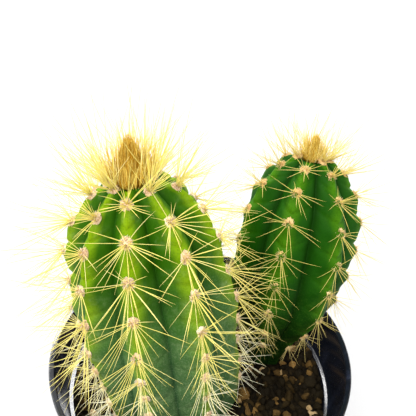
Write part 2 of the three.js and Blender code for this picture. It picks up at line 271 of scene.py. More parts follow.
def closed_skin(
    rings: Array, low: Sequence[float], high: Sequence[float]
) -> tuple[Array, list[Array]]:
    """Closes a stack of rings to a point at each end.

    Args:
        rings: Points by ring, from the lowest.
        low: The point that closes the first ring.
        high: The point that closes the last ring.

    Returns:
        All points, one a row, and their faces.
    """
    rows, around = rings.shape[:2]
    total = rows * around
    first = np.arange(around)
    faces = [
        grid_faces(rows, around),
        fan_faces(first, total, False),
        fan_faces(first + total - around, total + 1, True),
    ]
    return np.concatenate([rings.reshape(-1, 3), [low, high]]), faces


def turned_skin(profile: Profile, sides: int) -> tuple[Array, Array]:
    """Skin of a closed profile turned about the Z axis.

    Args:
        profile: Radius and height of each point, from the axis at the bottom round to the axis at the top.
        sides: Points round the axis.

    Returns:
        Points by ring, and faces.
    """
    radius, height = np.array(profile, float).T
    angle = round_turn(sides)
    points = np.stack(
        [
            np.outer(radius, np.cos(angle)),
            np.outer(radius, np.sin(angle)),
            np.repeat(height[:, None], sides, axis=1),
        ],
        axis=-1,
    )
    return points, grid_faces(len(radius), sides)


def rounded(profile: Profile, radius: float, steps: int = 4) -> Profile:
    """Replaces the inner corners of a profile by small arcs.

    Args:
        profile: Radius and height of each corner.
        radius: How far from a corner its arc begins.
        steps: Pieces in each arc.

    Returns:
        The longer profile.
    """
    corners = np.array(profile, float)
    longest = 0.45
    result = [tuple(corners[0])]
    for before, here, after in zip(corners, corners[1:], corners[2:]):
        back, ahead = before - here, after - here
        reach = min(radius, np.linalg.norm(back) * longest, np.linalg.norm(ahead) * longest)
        start = here + back / np.linalg.norm(back) * reach
        end = here + ahead / np.linalg.norm(ahead) * reach
        for t in np.linspace(0, 1, steps + 1):
            result.append(tuple((1 - t) ** 2 * start + 2 * t * (1 - t) * here + t**2 * end))
    result.append(tuple(corners[-1]))
    return result


@dataclass
class Needles:
    """Slim round tapering bodies, such as spines and bristles, each from a root to a tip.

    The taper says how early a needle thins, and one would be a plain cone. A bulb widens the first part,
    bulb_length long, by a share of the thickness. The last ring stands at a share of the length, and the
    rings of a needle with a bulb crowd towards its root.
    """

    roots: Array
    tips: Array
    thickness: Array
    bend: Array
    age: Array
    tone: Array
    bulb: float = 0.0
    bulb_length: float = 0.55
    taper: float = 0.5
    last_ring: float = 0.98
    crowding: float = 1.2

    def draw(self, draft: MeshDraft, sides: int = 6, rings: int = 7) -> None:
        """Adds the needles to a mesh.

        Args:
            draft: The mesh that gets them.
            sides: Sides of a needle's round section.
            rings: Rings of points along a needle, its tip apart.
        """
        count = len(self.roots)
        along = self.tips - self.roots
        length = np.linalg.norm(along, axis=1, keepdims=True)
        heading = along / length
        helper = np.where(np.abs(heading[:, 2:3]) < 0.9, [[0.0, 0.0, 1.0]], [[1.0, 0.0, 0.0]])
        side = unit(np.cross(helper, heading))
        other = np.cross(heading, side)
        share = self.last_ring * np.linspace(0, 1, rings) ** (self.crowding if self.bulb else 1.0)
        centre = self.roots[:, None] + along[:, None] * share[None, :, None]
        centre = centre + (self.bend[:, None] * length * np.sin(math.pi * share))[..., None] * other[:, None]
        width = self.thickness[:, None] / 2 * (1 - share[None] ** (1 / self.taper)) ** self.taper
        width = width * (1 + self.bulb * bell(share[None] * length, self.bulb_length))
        round_ = compass(round_turn(sides), side[:, None], other[:, None])
        body = centre[:, :, None] + width[..., None, None] * round_[:, None]
        points = np.concatenate([body.reshape(count, -1, 3), self.tips[:, None]], axis=1)
        each = points.shape[1]
        start = (np.arange(count) * each)[:, None, None]
        sides_faces = grid_faces(rings, sides)[None] + start
        last = (rings - 1) * sides + np.arange(sides)
        cap_faces = fan_faces(last, each - 1, True)[None] + start
        root_faces = np.arange(sides)[::-1][None, None] + start
        run = np.concatenate([np.repeat(share, sides), [1.0]])
        draft.add(
            points,
            [sides_faces.reshape(-1, 4), cap_faces.reshape(-1, 3), root_faces.reshape(-1, sides)],
            along=np.tile(run, count),
            age=np.repeat(self.age, each),
            tone=np.repeat(self.tone, each),
        )


# ---- shaders --------------------------------------------------------------------------------------


class Value:
    """An output socket in shader maths, so that sums of nodes read as expressions."""

    def __init__(self, graph: "Graph", socket: bpy.types.NodeSocket) -> None:
        """Wraps one output socket of a graph."""
        self.graph = graph
        self.socket = socket

    def _with(self, operation: str, first: Any, second: Any) -> "Value":
        """Adds a Math node for two values or numbers."""
        return self.graph.node("ShaderNodeMath", {"operation": operation}, {0: first, 1: second})

    def __add__(self, other: Any) -> "Value":
        """Sum."""
        return self._with("ADD", self, other)

    def __radd__(self, other: Any) -> "Value":
        """Sum, with this value second."""
        return self._with("ADD", other, self)

    def __sub__(self, other: Any) -> "Value":
        """Difference."""
        return self._with("SUBTRACT", self, other)

    def __rsub__(self, other: Any) -> "Value":
        """Difference, with this value second."""
        return self._with("SUBTRACT", other, self)

    def __mul__(self, other: Any) -> "Value":
        """Product."""
        return self._with("MULTIPLY", self, other)

    def __rmul__(self, other: Any) -> "Value":
        """Product, with this value second."""
        return self._with("MULTIPLY", other, self)

    def clipped(self) -> "Value":
        """The value held between zero and one."""
        return self.graph.node("ShaderNodeClamp", {}, {0: self})

    def ramp(self, low: float, high: float) -> "Value":
        """Smooth step from zero at low to one at high."""
        settings = {"interpolation_type": "SMOOTHSTEP"}
        inputs = {0: self, 1: low, 2: high, 3: 0.0, 4: 1.0}
        return self.graph.node("ShaderNodeMapRange", settings, inputs)


class Graph:
    """The node tree of one new material."""

    def __init__(self, name: str) -> None:
        """Makes an empty material of the given name."""
        self.material = bpy.data.materials.new(name)
        self.material.use_nodes = True
        self.tree = self.material.node_tree
        self.tree.nodes.clear()

    def node(self, kind: str, settings: dict[str, Any], inputs: dict[Any, Any], output: Any = 0) -> Value:
        """Adds a node.

        Args:
            kind: Blender's name of the node type.
            settings: The node's own settings; "stops" holds a colour ramp's places and colours.
            inputs: Values or links of its sockets, by name or number.
            output: Name or number of the output that is wanted.

        Returns:
            That output.
        """
        made = self.tree.nodes.new(kind)
        for key, setting in settings.items():
            if key == "stops":
                elements = made.color_ramp.elements
                while len(elements) < len(setting):
                    elements.new(0.5)
                for element, (place, colour) in zip(elements, setting):
                    element.position = place
                    element.color = colour
            else:
                setattr(made, key, setting)
        for key, given in inputs.items():
            if isinstance(given, Value):
                self.tree.links.new(given.socket, made.inputs[key])
            else:
                made.inputs[key].default_value = given
        return Value(self, made.outputs[output])

    def attribute(self, name: str) -> Value:
        """Reads a value kept on the mesh's points."""
        return self.node("ShaderNodeAttribute", {"attribute_name": name}, {}, "Fac")

    def place(self) -> Value:
        """The place on the object, in metres."""
        return self.node("ShaderNodeTexCoord", {}, {}, "Object")

    def noise(
        self, size: float, detail: float = 3.0, roughness: float = 0.55, stretch: float = 1.0
    ) -> Value:
        """Cloudy unevenness between zero and one.

        Args:
            size: Rough size of one cloud in millimetres.
            detail: Number of finer layers.
            roughness: Strength of the finer layers.
            stretch: How many times longer the clouds are along Z.

        Returns:
            The unevenness.
        """
        place = self.place()
        if stretch != 1.0:
            scale = (1.0, 1.0, 1.0 / stretch)
            place = self.node("ShaderNodeMapping", {}, {"Vector": place, "Scale": scale})
        inputs = {"Vector": place, "Scale": 1 / (size * MM), "Detail": detail, "Roughness": roughness}
        return self.node("ShaderNodeTexNoise", {}, inputs)

    def mix(self, share: Any, first: Any, second: Any) -> Value:
        """Mixes two colours.

        Args:
            share: Share of the second colour.
            first: First colour.
            second: Second colour.

        Returns:
            The mixed colour.
        """
        inputs = {0: share, 6: first, 7: second}
        return self.node("ShaderNodeMix", {"data_type": "RGBA"}, inputs, 2)

    def ramp(self, share: Value, *stops: tuple[float, Colour]) -> Value:
        """Colour picked along a list of places and colours."""
        return self.node("ShaderNodeValToRGB", {"stops": stops}, {0: share})

    def bump(self, height: Value, depth: float, strength: float) -> Value:
        """Fine relief.

        Args:
            height: The relief's height between zero and one.
            depth: Full depth in millimetres.
            strength: Share of the relief that shows.

        Returns:
            The normal that shows it.
        """
        inputs = {"Strength": strength, "Distance": depth * MM, "Height": height}
        return self.node("ShaderNodeBump", {}, inputs)

    def finish(self, **sockets: Any) -> bpy.types.Material:
        """Closes the tree with the surface shader.

        Args:
            sockets: Values or links of its sockets, with spaces in their names written as underscores.

        Returns:
            The finished material.
        """
        inputs = {key.replace("_", " "): given for key, given in sockets.items()}
        return self.close(self.node("ShaderNodeBsdfPrincipled", {}, inputs))

    def close(self, surface: Value) -> bpy.types.Material:
        """Links the surface to the material's output, and gives the finished material."""
        output = self.tree.nodes.new("ShaderNodeOutputMaterial")
        self.tree.links.new(surface.socket, output.inputs["Surface"])
        return self.material


@dataclass(frozen=True)
class SkinFinish:
    """Waxy living skin of a stem, in the colours of its upper and its lower part."""

    name: str
    crown_crest: Colour
    crown_flank: Colour
    crown_furrow: Colour
    foot_crest: Colour
    foot_flank: Colour
    foot_furrow: Colour
    glow: Colour
    wax_and_sheen: Colour
    wax_sheen_share: float
    crest_reach: float
    foot_reach: float

    def material(self) -> bpy.types.Material:
        """Makes the skin: bright on the crests, dark in the furrows, greyer towards the soil."""
        g = Graph(self.name)
        off, height = g.attribute("off_crest"), g.attribute("height")
        glow, dust = g.attribute("glow"), g.attribute("dust")
        cloud = g.noise(8.0, 4.0)
        blotch = g.noise(2.2, 4.0, 0.6)
        speckle = g.noise(0.5, 2.0, 0.5)
        edge = (off + (cloud - 0.5) * 0.14 + (blotch - 0.5) * 0.1).clipped()
        band = self.crest_reach
        # Crest to furrow colours: partly the skin's own colour, partly a painted highlight on the crests and
        # painted shade in the furrows.
        crown = g.ramp(
            edge,
            (0.0, self.crown_crest),
            (band * 0.5, self.crown_crest),
            (band * 1.3, self.crown_flank),
            (0.66, self.crown_flank),
            (0.95, self.crown_furrow),
        )
        foot = g.ramp(
            edge,
            (0.0, self.foot_crest),
            (band * 0.2, self.foot_crest),
            (band * 0.62, self.foot_flank),
            (0.88, self.foot_flank),
            (1.0, self.foot_furrow),
        )
        reach = self.foot_reach
        age = (height + (cloud - 0.5) * 0.2 + (blotch - 0.5) * 0.1).ramp(reach - 0.34, reach + 0.2)
        colour = g.mix(age, foot, crown)
        colour = g.mix(glow * (0.35 + age * 0.5), colour, self.glow)
        # Pale patches on the flanks under each areole: partly waxy bloom, partly a painted sheen.
        patch = blotch.ramp(0.4, 0.7) + g.noise(1.1, 3.0, 0.6, 3.0).ramp(0.6, 0.75) * 0.8
        colour = g.mix((patch * dust * (1 - age * 0.8) * self.wax_sheen_share).clipped(), colour, self.wax_and_sheen)
        colour = g.mix(speckle.ramp(0.5, 0.7) * (1 - age) * 0.22, colour, self.wax_and_sheen)
        colour = g.mix(speckle.ramp(0.55, 0.3) * 0.25, colour, self.crown_furrow)
        normal = g.bump(blotch * 0.5 + speckle * 0.5, 0.12, 0.3)
        rough = 0.5 + cloud * 0.14
        return g.finish(Base_Color=colour, Roughness=rough, Normal=normal, Specular_IOR_Level=0.05)


@dataclass(frozen=True)
class SpineFinish:
    """Stiff glassy spines, brown at the root and pale at the tip."""

    name: str
    root: Colour
    young: Colour
    old: Colour
    tip: Colour

    def material(self) -> bpy.types.Material:
        """Makes the spines' colour from their length, their age and a tone of their own."""
        g = Graph(self.name)
        along = g.attribute("along")
        age = g.attribute("age")
        tone = g.attribute("tone")
        shaft = g.mix((age.ramp(0.42, 0.82) + (tone - 0.5) * 0.5).clipped(), self.young, self.old)
        colour = g.mix(along.ramp(0.55, 1.0) * 0.8 * (1 - age), shaft, self.tip)
        colour = g.mix((1 - along.ramp(0.0, 0.13)) * 0.85, colour, self.root)
        colour = g.mix(tone * 0.22, colour, self.root)
        return g.finish(Base_Color=colour, Roughness=0.45, Specular_IOR_Level=0.3)


@dataclass(frozen=True)
class WoolFinish:
    """Felted wool and bristles."""

    name: str
    deep: Colour
    pale: Colour
    dot: Colour

    def material(self) -> bpy.types.Material:
        """Makes matte wool that pales towards its hairs' ends, and on a crown's cone to its foot, as painted
        light.
        """
        g = Graph(self.name)
        along = g.attribute("along")
        tone = g.attribute("tone")
        cloud = g.noise(0.8, 3.0)
        pallor = along * 0.7 + (cloud - 0.5) * 0.7 + (tone - 0.5) * 0.9
        colour = g.mix(pallor.clipped(), self.deep, self.pale)
        colour = g.mix(g.noise(0.55, 2.0).ramp(0.6, 0.75) * 0.6, colour, self.dot)
        normal = g.bump(cloud, 0.15, 0.6)
        return g.finish(Base_Color=colour, Roughness=0.85, Specular_IOR_Level=0.1, Normal=normal)


@dataclass(frozen=True)
class PotFinish:
    """Glossy black moulded plastic."""

    name: str = "black plastic"
    # The inside's base is lighter and bluer than the outside's, partly a painted bluish sheen.
    base: Colour = srgb(20, 23, 31)
    sheen_streak: Colour = srgb(48, 53, 70)
    dust: Colour = srgb(74, 75, 80)
    specular: float = 0.6
    polish: float = 0.13

    def material(self) -> bpy.types.Material:
        """Makes the plastic, with faint flow marks, painted upright sheen streaks, fine scuffs and a little
        dust.
        """
        g = Graph(self.name)
        flow = g.noise(9.0, 3.0, 0.5, 5.0)
        scuff = g.noise(1.2, 4.0, 0.7)
        dust = g.noise(3.0, 5.0, 0.7).ramp(0.58, 0.8)
        # Painted sheen: long upright streaks, lighter and bluer than the base, stand in for reflections.
        colour = g.mix(g.noise(7.0, 2.0, 0.5, 6.0).ramp(0.5, 0.7) * 0.5, self.base, self.sheen_streak)
        colour = g.mix(dust * 0.22, colour, self.dust)
        rough = self.polish + scuff.ramp(0.45, 0.8) * 0.16 + dust * 0.15
        normal = g.bump(flow * 0.8 + scuff * 0.2, 0.25, 0.3)
        return g.finish(
            Base_Color=colour, Roughness=rough, Specular_IOR_Level=self.specular, Normal=normal
        )


OUTSIDE_PLASTIC = PotFinish(
    name="black plastic outside",
    base=srgb(8, 9, 12),
    sheen_streak=srgb(16, 18, 25),
    dust=srgb(30, 31, 35),
    specular=0.3,
    polish=0.12,
)


@dataclass(frozen=True)
class SoilFinish:
    """Dark crumbly soil between the grit."""

    name: str = "potting soil"
    dark: Colour = srgb(14, 10, 4)
    mid: Colour = srgb(36, 27, 12)

    def material(self) -> bpy.types.Material:
        """Makes damp dark crumbs."""
        g = Graph(self.name)
        crumbs = g.noise(1.6, 6.0, 0.7)
        colour = g.mix(crumbs.ramp(0.4, 0.7), self.dark, self.mid)
        normal = g.bump(crumbs, 0.9, 0.9)
        return g.finish(Base_Color=colour, Roughness=0.9, Specular_IOR_Level=0.1, Normal=normal)


@dataclass(frozen=True)
class GritFinish:
    """Crushed tan stone, each grain with a tone of its own."""

    name: str = "tan grit"
    pit: Colour = srgb(20, 14, 5)
    tones: tuple[Colour, ...] = (
        srgb(13, 9, 2),
        srgb(22, 16, 4),
        srgb(31, 24, 8),
        srgb(56, 42, 16),
        srgb(140, 106, 56),
        srgb(214, 184, 136),
    )

    def material(self) -> bpy.types.Material:
        """Makes rough stone."""
        g = Graph(self.name)
        tone = g.attribute("tone")
        stops = [(i / (len(self.tones) - 1), colour) for i, colour in enumerate(self.tones)]
        colour = g.ramp(tone, *stops)
        grain = g.noise(0.8, 5.0, 0.7)
        colour = g.mix(grain.ramp(0.25, 0.6) * 0.6 + 0.3, self.pit, colour)
        normal = g.bump(grain, 0.3, 0.7)
        return g.finish(Base_Color=colour, Roughness=0.82, Specular_IOR_Level=0.12, Normal=normal)


# ---- the plant's form -----------------------------------------------------------------------------


def off_crest(q: Array) -> Array:
    """How far rib coordinates lie from the nearest crest: zero on it, one in a furrow."""
    return np.abs(q - np.round(q)) * 2


@dataclass
class StemForm:
    """Shape of one ribbed stem, the same as in the solid model.

    Lengths are in millimetres and angles in degrees. The girth lists the crests' radius from the foot to the
    shoulder, where the dome starts, and the furrow its depth at the foot and from furrow_full of the height
    up. Areoles stand spacing apart down each rib, a little more or less than that round swell_place.
    """

    foot: tuple[float, float, float]
    crown: tuple[float, float, float]
    bow: float
    ribs: int
    rib_azimuth: float
    rib_shifts: tuple[float, ...]
    twist: float
    girth: tuple[float, ...]
    shoulder: float
    dome_power: float
    furrow: tuple[float, float]
    burial: float
    first_areoles: tuple[float, ...]
    spacing: float
    spacing_swell: float
    swell_place: float
    swell_reach: float
    young_areoles: tuple[float, ...]
    crown_seat: float = 6.2
    seat_drop: float = 1.2
    furrow_full: float = 0.6
    furrow_power: float = 1.6

    @property
    def rise(self) -> float:
        """Height of the crown above the foot."""
        return self.crown[2] - self.foot[2]

    @property
    def axis(self) -> Array:
        """Direction of the leaning stem."""
        return unit(np.array(self.crown) - np.array(self.foot))

    def axis_point(self, s: Array) -> Array:
        """Points of the stem's middle line at shares of its height."""
        share = np.asarray(s, float)[..., None]
        line = np.array(self.foot) * (1 - share) + np.array(self.crown) * share
        bulge = (4 * share * (1 - share) * self.bow) * np.array([1.0, 0.0, 0.0])
        return line + bulge

    def crest_radius(self, s: Array) -> Array:
        """Radius of the rib crests at shares of the height."""
        share = np.asarray(s, float)
        dome = np.clip((share - self.shoulder) / (1 - self.shoulder), 0, 1)
        flat = (1 - dome**self.dome_power) ** (1 / self.dome_power)
        return through(self.girth, share / self.shoulder) * flat

    def ring_point(self, s: Array, azimuth: Array, radius: Array) -> Array:
        """Points on rings square to the leaning axis."""
        x = radius * np.sin(azimuth)
        y = -radius * np.cos(azimuth)
        lean = (np.array(self.crown) - np.array(self.foot)) / self.rise
        return self.axis_point(s) + np.stack([x, y, -lean[0] * x - lean[1] * y], axis=-1)

    def rib_angle(self, q: Array, s: Array) -> Array:
        """Azimuth of rib coordinates, whole on a crest and half in a furrow."""
        q = np.asarray(q, float)
        before = np.floor(q).astype(int)
        shifts = np.asarray(self.rib_shifts, float)
        low, high = shifts[before % self.ribs], shifts[(before + 1) % self.ribs]
        shift = low + (high - low) * (q - before)
        return np.radians(self.rib_azimuth + shift + q * 360 / self.ribs + self.twist * (1 - np.asarray(s)))

    def furrow_depth(self, s: Array) -> Array:
        """Furrow depth at shares of the height."""
        low, high = self.furrow
        full = low + (high - low) * np.clip(np.asarray(s) / self.furrow_full, 0, 1)
        return full * np.minimum(1, self.crest_radius(s) / max(self.girth) * 1.2)

    def skin_point(self, s: Array, q: Array, grow: Array | float = 0.0) -> Array:
        """Points of the plain skin, the same as in the solid model."""
        furrow = self.furrow_depth(s) * off_crest(q) ** self.furrow_power
        return self.ring_point(s, self.rib_angle(q, s), self.crest_radius(s) - furrow + grow)

    def crown_seat_point(self) -> Array:
        """Middle of the hollow at the very top, where the tuft sits."""
        s = 1 - (self.crown_seat / max(self.girth)) ** 2 * 0.5 * (1 - self.shoulder)
        return self.axis_point(s - self.seat_drop / self.rise)

    def areole_shares(self, rib: int) -> list[float]:
        """Shares of the height of one rib's areoles, from the crown down."""
        step, lowest = 0.002, 0.046
        s = 1 - step * np.arange(round((1 - lowest) / step) + 1)
        down = travelled(self.skin_point(s, np.full(s.shape, float(rib))))
        shares: list[float] = []
        if self.young_areoles[rib]:
            shares.append(float(np.interp(self.young_areoles[rib], down, s)))
        target = self.first_areoles[rib]
        for share, distance in zip(s, down):
            if distance >= target:
                shares.append(float(share))
                off_place = (target - self.swell_place) / self.swell_reach
                target += self.spacing + self.spacing_swell * math.exp(-(off_place**2))
        return shares

    def contains(self, points: Array, margin: float) -> Array:
        """Tells which points lie inside the stem, or within a margin of it."""
        s = (points[..., 2] - self.foot[2]) / self.rise
        centre = self.axis_point(np.clip(s, 0, 1))
        away = np.hypot(points[..., 0] - centre[..., 0], points[..., 1] - centre[..., 1])
        lowered = np.where(s > self.shoulder, np.maximum(self.shoulder, s - 0.06), s)
        reach = self.crest_radius(np.clip(lowered, 0, 1))
        return (away < reach + margin) & (s < 1 + margin / self.rise)


@dataclass
class Areoles:
    """All areoles of one stem: places, directions, shares of the height, youth and size.

    Those next to the crown have a nearness of one. They are young too, but for the front rib's.
    """

    point: Array
    out: Array
    up: Array
    across: Array
    share: Array
    near: Array
    youth: Array
    size: Array

    @classmethod
    def of(cls, form: StemForm) -> "Areoles":
        """Lays out the areoles of a stem."""
        found = [(rib, s) for rib in range(form.ribs) for s in form.areole_shares(rib)]
        q, s = np.array(found).T
        point = form.skin_point(s, q)
        up = unit(form.skin_point(np.minimum(s + 0.01, 1), q) - form.skin_point(s - 0.01, q))
        azimuth = form.rib_angle(q, s)
        level = np.stack([np.cos(azimuth), np.sin(azimuth), np.zeros_like(azimuth)], axis=-1)
        out = unit(np.cross(level, up))
        far, fade = 25.0, 14.0
        near = np.clip((far - np.linalg.norm(point - form.crown_seat_point(), axis=1)) / fade, 0, 1)
        front_youth = 0.2
        youth = near * np.where(q == 0, front_youth, 1.0)
        size = 0.76 + 0.24 * np.clip(s / 0.8, 0, 1) - 0.12 * youth
        return cls(point, out, up, unit(np.cross(up, out)), s, near, youth, size)

    def __len__(self) -> int:
        """Number of areoles."""
        return len(self.point)

    def sideways(self, pick: Array, turn: Array) -> Array:
        """Directions along the skin at chosen areoles, each turned from straight up."""
        return compass(turn, self.up[pick], self.across[pick])


# ---- the pieces -----------------------------------------------------------------------------------


@dataclass
class NurseryPot:
    """Round moulded pot with a collar, a ledge inside at the soil line and a bead round the rim."""

    rim_radius: float = 60.0
    height: float = 105.0
    base_radius: float = 43.0
    wall: float = 1.4
    collar_height: float = 19.5
    collar_taper: float = 3.5
    ledge_width: float = 1.8
    lip: float = 1.4
    floor: float = 2.6
    drain_holes: int = 8
    drain_radius: float = 4.0
    drain_circle: float = 33.0
    foot_bevel: float = 4.0
    floor_bevel: float = 2.5
    ring_spacing: float = 4.0
    sides: int = 288

    @property
    def ledge_z(self) -> float:
        """Height of the ledge, which is the soil line."""
        return self.height - self.collar_height

    @property
    def ledge_outer(self) -> float:
        """Radius of the ledge's outer edge."""
        return self.rim_radius - self.lip - self.wall - self.collar_taper + 1.2

    @property
    def ledge_inner(self) -> float:
        """Radius of the ledge's inner edge."""
        return self.ledge_outer - self.ledge_width

    def profile(self) -> Profile:
        """Corners of the wall's section, from the outside of the base over the rim to the floor inside."""
        rim, top, wall = self.rim_radius, self.height, self.wall
        return [
            (self.base_radius - self.foot_bevel, 0.0),
            (self.base_radius - 1.0, 0.0),
            (self.base_radius, 1.2),
            (self.ledge_inner + wall, self.ledge_z - 2.3),
            (self.ledge_outer + wall + 0.2, self.ledge_z - 1.1),
            (rim - self.lip, top - 3.2),
            (rim, top - 2.6),
            (rim, top - 0.25),
            (rim - 0.2, top),
            (rim - 1.8, top - 0.8),
            (self.ledge_outer, self.ledge_z + 0.1),
            (self.ledge_inner, self.ledge_z),
            (self.base_radius - wall, self.floor + 0.6),
            (self.base_radius - wall - self.floor_bevel, self.floor),
        ]

    def base_disc(self, draft: MeshDraft) -> None:
        """Adds the base with its drain holes: the flats below and inside, and the walls of the holes."""
        outer = self.base_radius - self.foot_bevel
        inner = self.base_radius - self.wall - self.floor_bevel
        around = 2 * (self.sides // self.drain_holes)
        turn = np.linspace(-math.pi, math.pi, around + 1)[:-1]
        faces = grid_faces(2, around)
        for k in range(self.drain_holes):
            middle = 2 * math.pi * k / self.drain_holes
            out = np.array([math.cos(middle), math.sin(middle)])
            side = np.array([-out[1], out[0]])
            hole = self.drain_circle * out + self.drain_radius * compass(turn, out, side)
            for z, radius, facing_up in ((0.0, outer, False), (self.floor, inner, True)):
                rings = np.stack([hole, self._sector_border(out, side, turn, radius)])
                points = np.concatenate([rings, np.full(rings.shape[:2] + (1,), z)], axis=-1)
                draft.add(points, faces[:, ::-1] if facing_up else faces)
            levels = [np.full((around, 1), z) for z in (0.0, self.floor)]
            draft.add(np.stack([np.hstack([hole, level]) for level in levels]), faces[:, ::-1])

    def _sector_border(self, out: Array, side: Array, turn: Array, radius: float) -> Array:
        """Border of one hole's slice of the base, met by rays from the hole's centre.

        Args:
            out: Direction from the middle of the base to the hole.
            side: Direction square to that.
            turn: Angles of the rays.
            radius: Radius of the base.

        Returns:
            The border's points, in the plane.
        """
        half = math.pi / self.drain_holes
        heading = np.stack([np.cos(turn), np.sin(turn)], axis=-1)
        start = np.array([self.drain_circle, 0.0])
        along = heading @ start
        reach = -along + np.sqrt(along**2 + radius**2 - self.drain_circle**2)
        for sign in (1, -1):
            normal = np.array([-math.sin(half), sign * math.cos(half)])
            gain = heading @ normal
            limit = np.where(gain > 1e-9, -(start @ normal) / np.maximum(gain, 1e-9), np.inf)
            reach = np.minimum(reach, limit)
        local = start + heading * reach[:, None]
        return local[:, :1] * out + local[:, 1:] * side

    def build(self) -> bpy.types.Object:
        """Makes the pot.

        Returns:
            The pot, standing for its solid.
        """
        draft = MeshDraft()
        section = self._with_extra_rings(rounded(self.profile(), 0.4))
        brim = max(range(len(section)), key=lambda i: section[i][1])
        for slot, side in enumerate((section[brim:], section[: brim + 1])):
            points, faces = turned_skin(side, self.sides)
            draft.add(points, faces, slot)
        self.base_disc(draft)
        piece = draft.build("nursery_pot", [PotFinish().material(), OUTSIDE_PLASTIC.material()])
        weld(piece)
        return dress(piece, "pot")

    def _with_extra_rings(self, section: Profile) -> Profile:
        """Splits the long straight stretches of the section, so that faces stay roughly square."""
        result = [section[0]]
        for before, here in zip(section, section[1:]):
            start, run = np.array(before), np.array(here) - np.array(before)
            pieces = max(1, round(math.dist(before, here) / self.ring_spacing))
            result += [tuple(start + run * k / pieces) for k in range(1, pieces + 1)]
        return result


def both_sides(*spines: tuple[float, float]) -> tuple[tuple[float, float], ...]:
    """Repeats spines, given by turn and lift in degrees, on the other side of the rib."""
    return tuple((side * turn, lift) for turn, lift in spines for side in (1, -1))


@dataclass(frozen=True)
class SpineRange:
    """What a loose spine is drawn from: its turn from straight up, its lift and its share of the length."""

    turns: tuple[float, float]
    lifts: tuple[float, float]
    gains: tuple[float, float]

    def draw(self, rng: np.random.Generator) -> tuple[float, float, float]:
        """Draws one spine."""
        return rng.uniform(*self.turns), rng.uniform(*self.lifts), rng.uniform(*self.gains)


CENTRALS = SpineRange((40, 320), (35, 80), (0.9, 1.2))
SIDE_EXTRAS = SpineRange((30, 330), (15, 75), (0.85, 1.2))
FOOT_EXTRAS = SpineRange((70, 290), (10, 50), (0.5, 1.05))
CROWN_EXTRAS = SpineRange((90, 270), (40, 120), (0.6, 0.95))


@dataclass(frozen=True)
class SpineHabit:
    """How the areoles of one stem bear their spines.

    Lengths are in millimetres, angles in degrees and chances between zero and one. Radials turned less than
    upper_turn from straight up are the upper ones. Those are shorter, and more of them are missing.
    """

    length: float
    crown_gain: float
    thickness: float
    radials: tuple[tuple[float, float], ...]
    centrals: int
    side_extras: int
    foot_extras: int
    crown_extras: int
    upper_turn: float = 65
    upper_missing: float = 0.5
    lower_missing: float = 0.06
    foot_missing: float = 0.4
    turn_spread: float = 9
    lift_spread: float = 11
    young_lift: float = 16
    foot_end: float = 0.55
    full_length_at: float = 0.62
    foot_length: float = 0.45
    attempts: int = 4
    attempt_lift: float = 12


@dataclass(frozen=True)
class SkinRelief:
    """How the skin swells and folds round each areole.

    The swelling fades within two lengths, one above the areole and one below it. A notch with the shape of a
    chevron lies above it. Fresh growth brightens the crest above it, and pale marks whiten the flanks below,
    partly waxy bloom and partly a painted sheen.
    """

    swell: float
    notch: float
    chevron: float
    sharpness: float
    swell_fade: tuple[float, float] = (2.0, 4.0)
    notch_above: float = 2.5
    notch_width: float = 1.1
    fresh_above: float = 4.6
    fresh_width: float = 3.0
    bloom_sheen_below: float = 2.8
    bloom_sheen_slant: float = 4.0
    bloom_sheen_width: float = 2.2


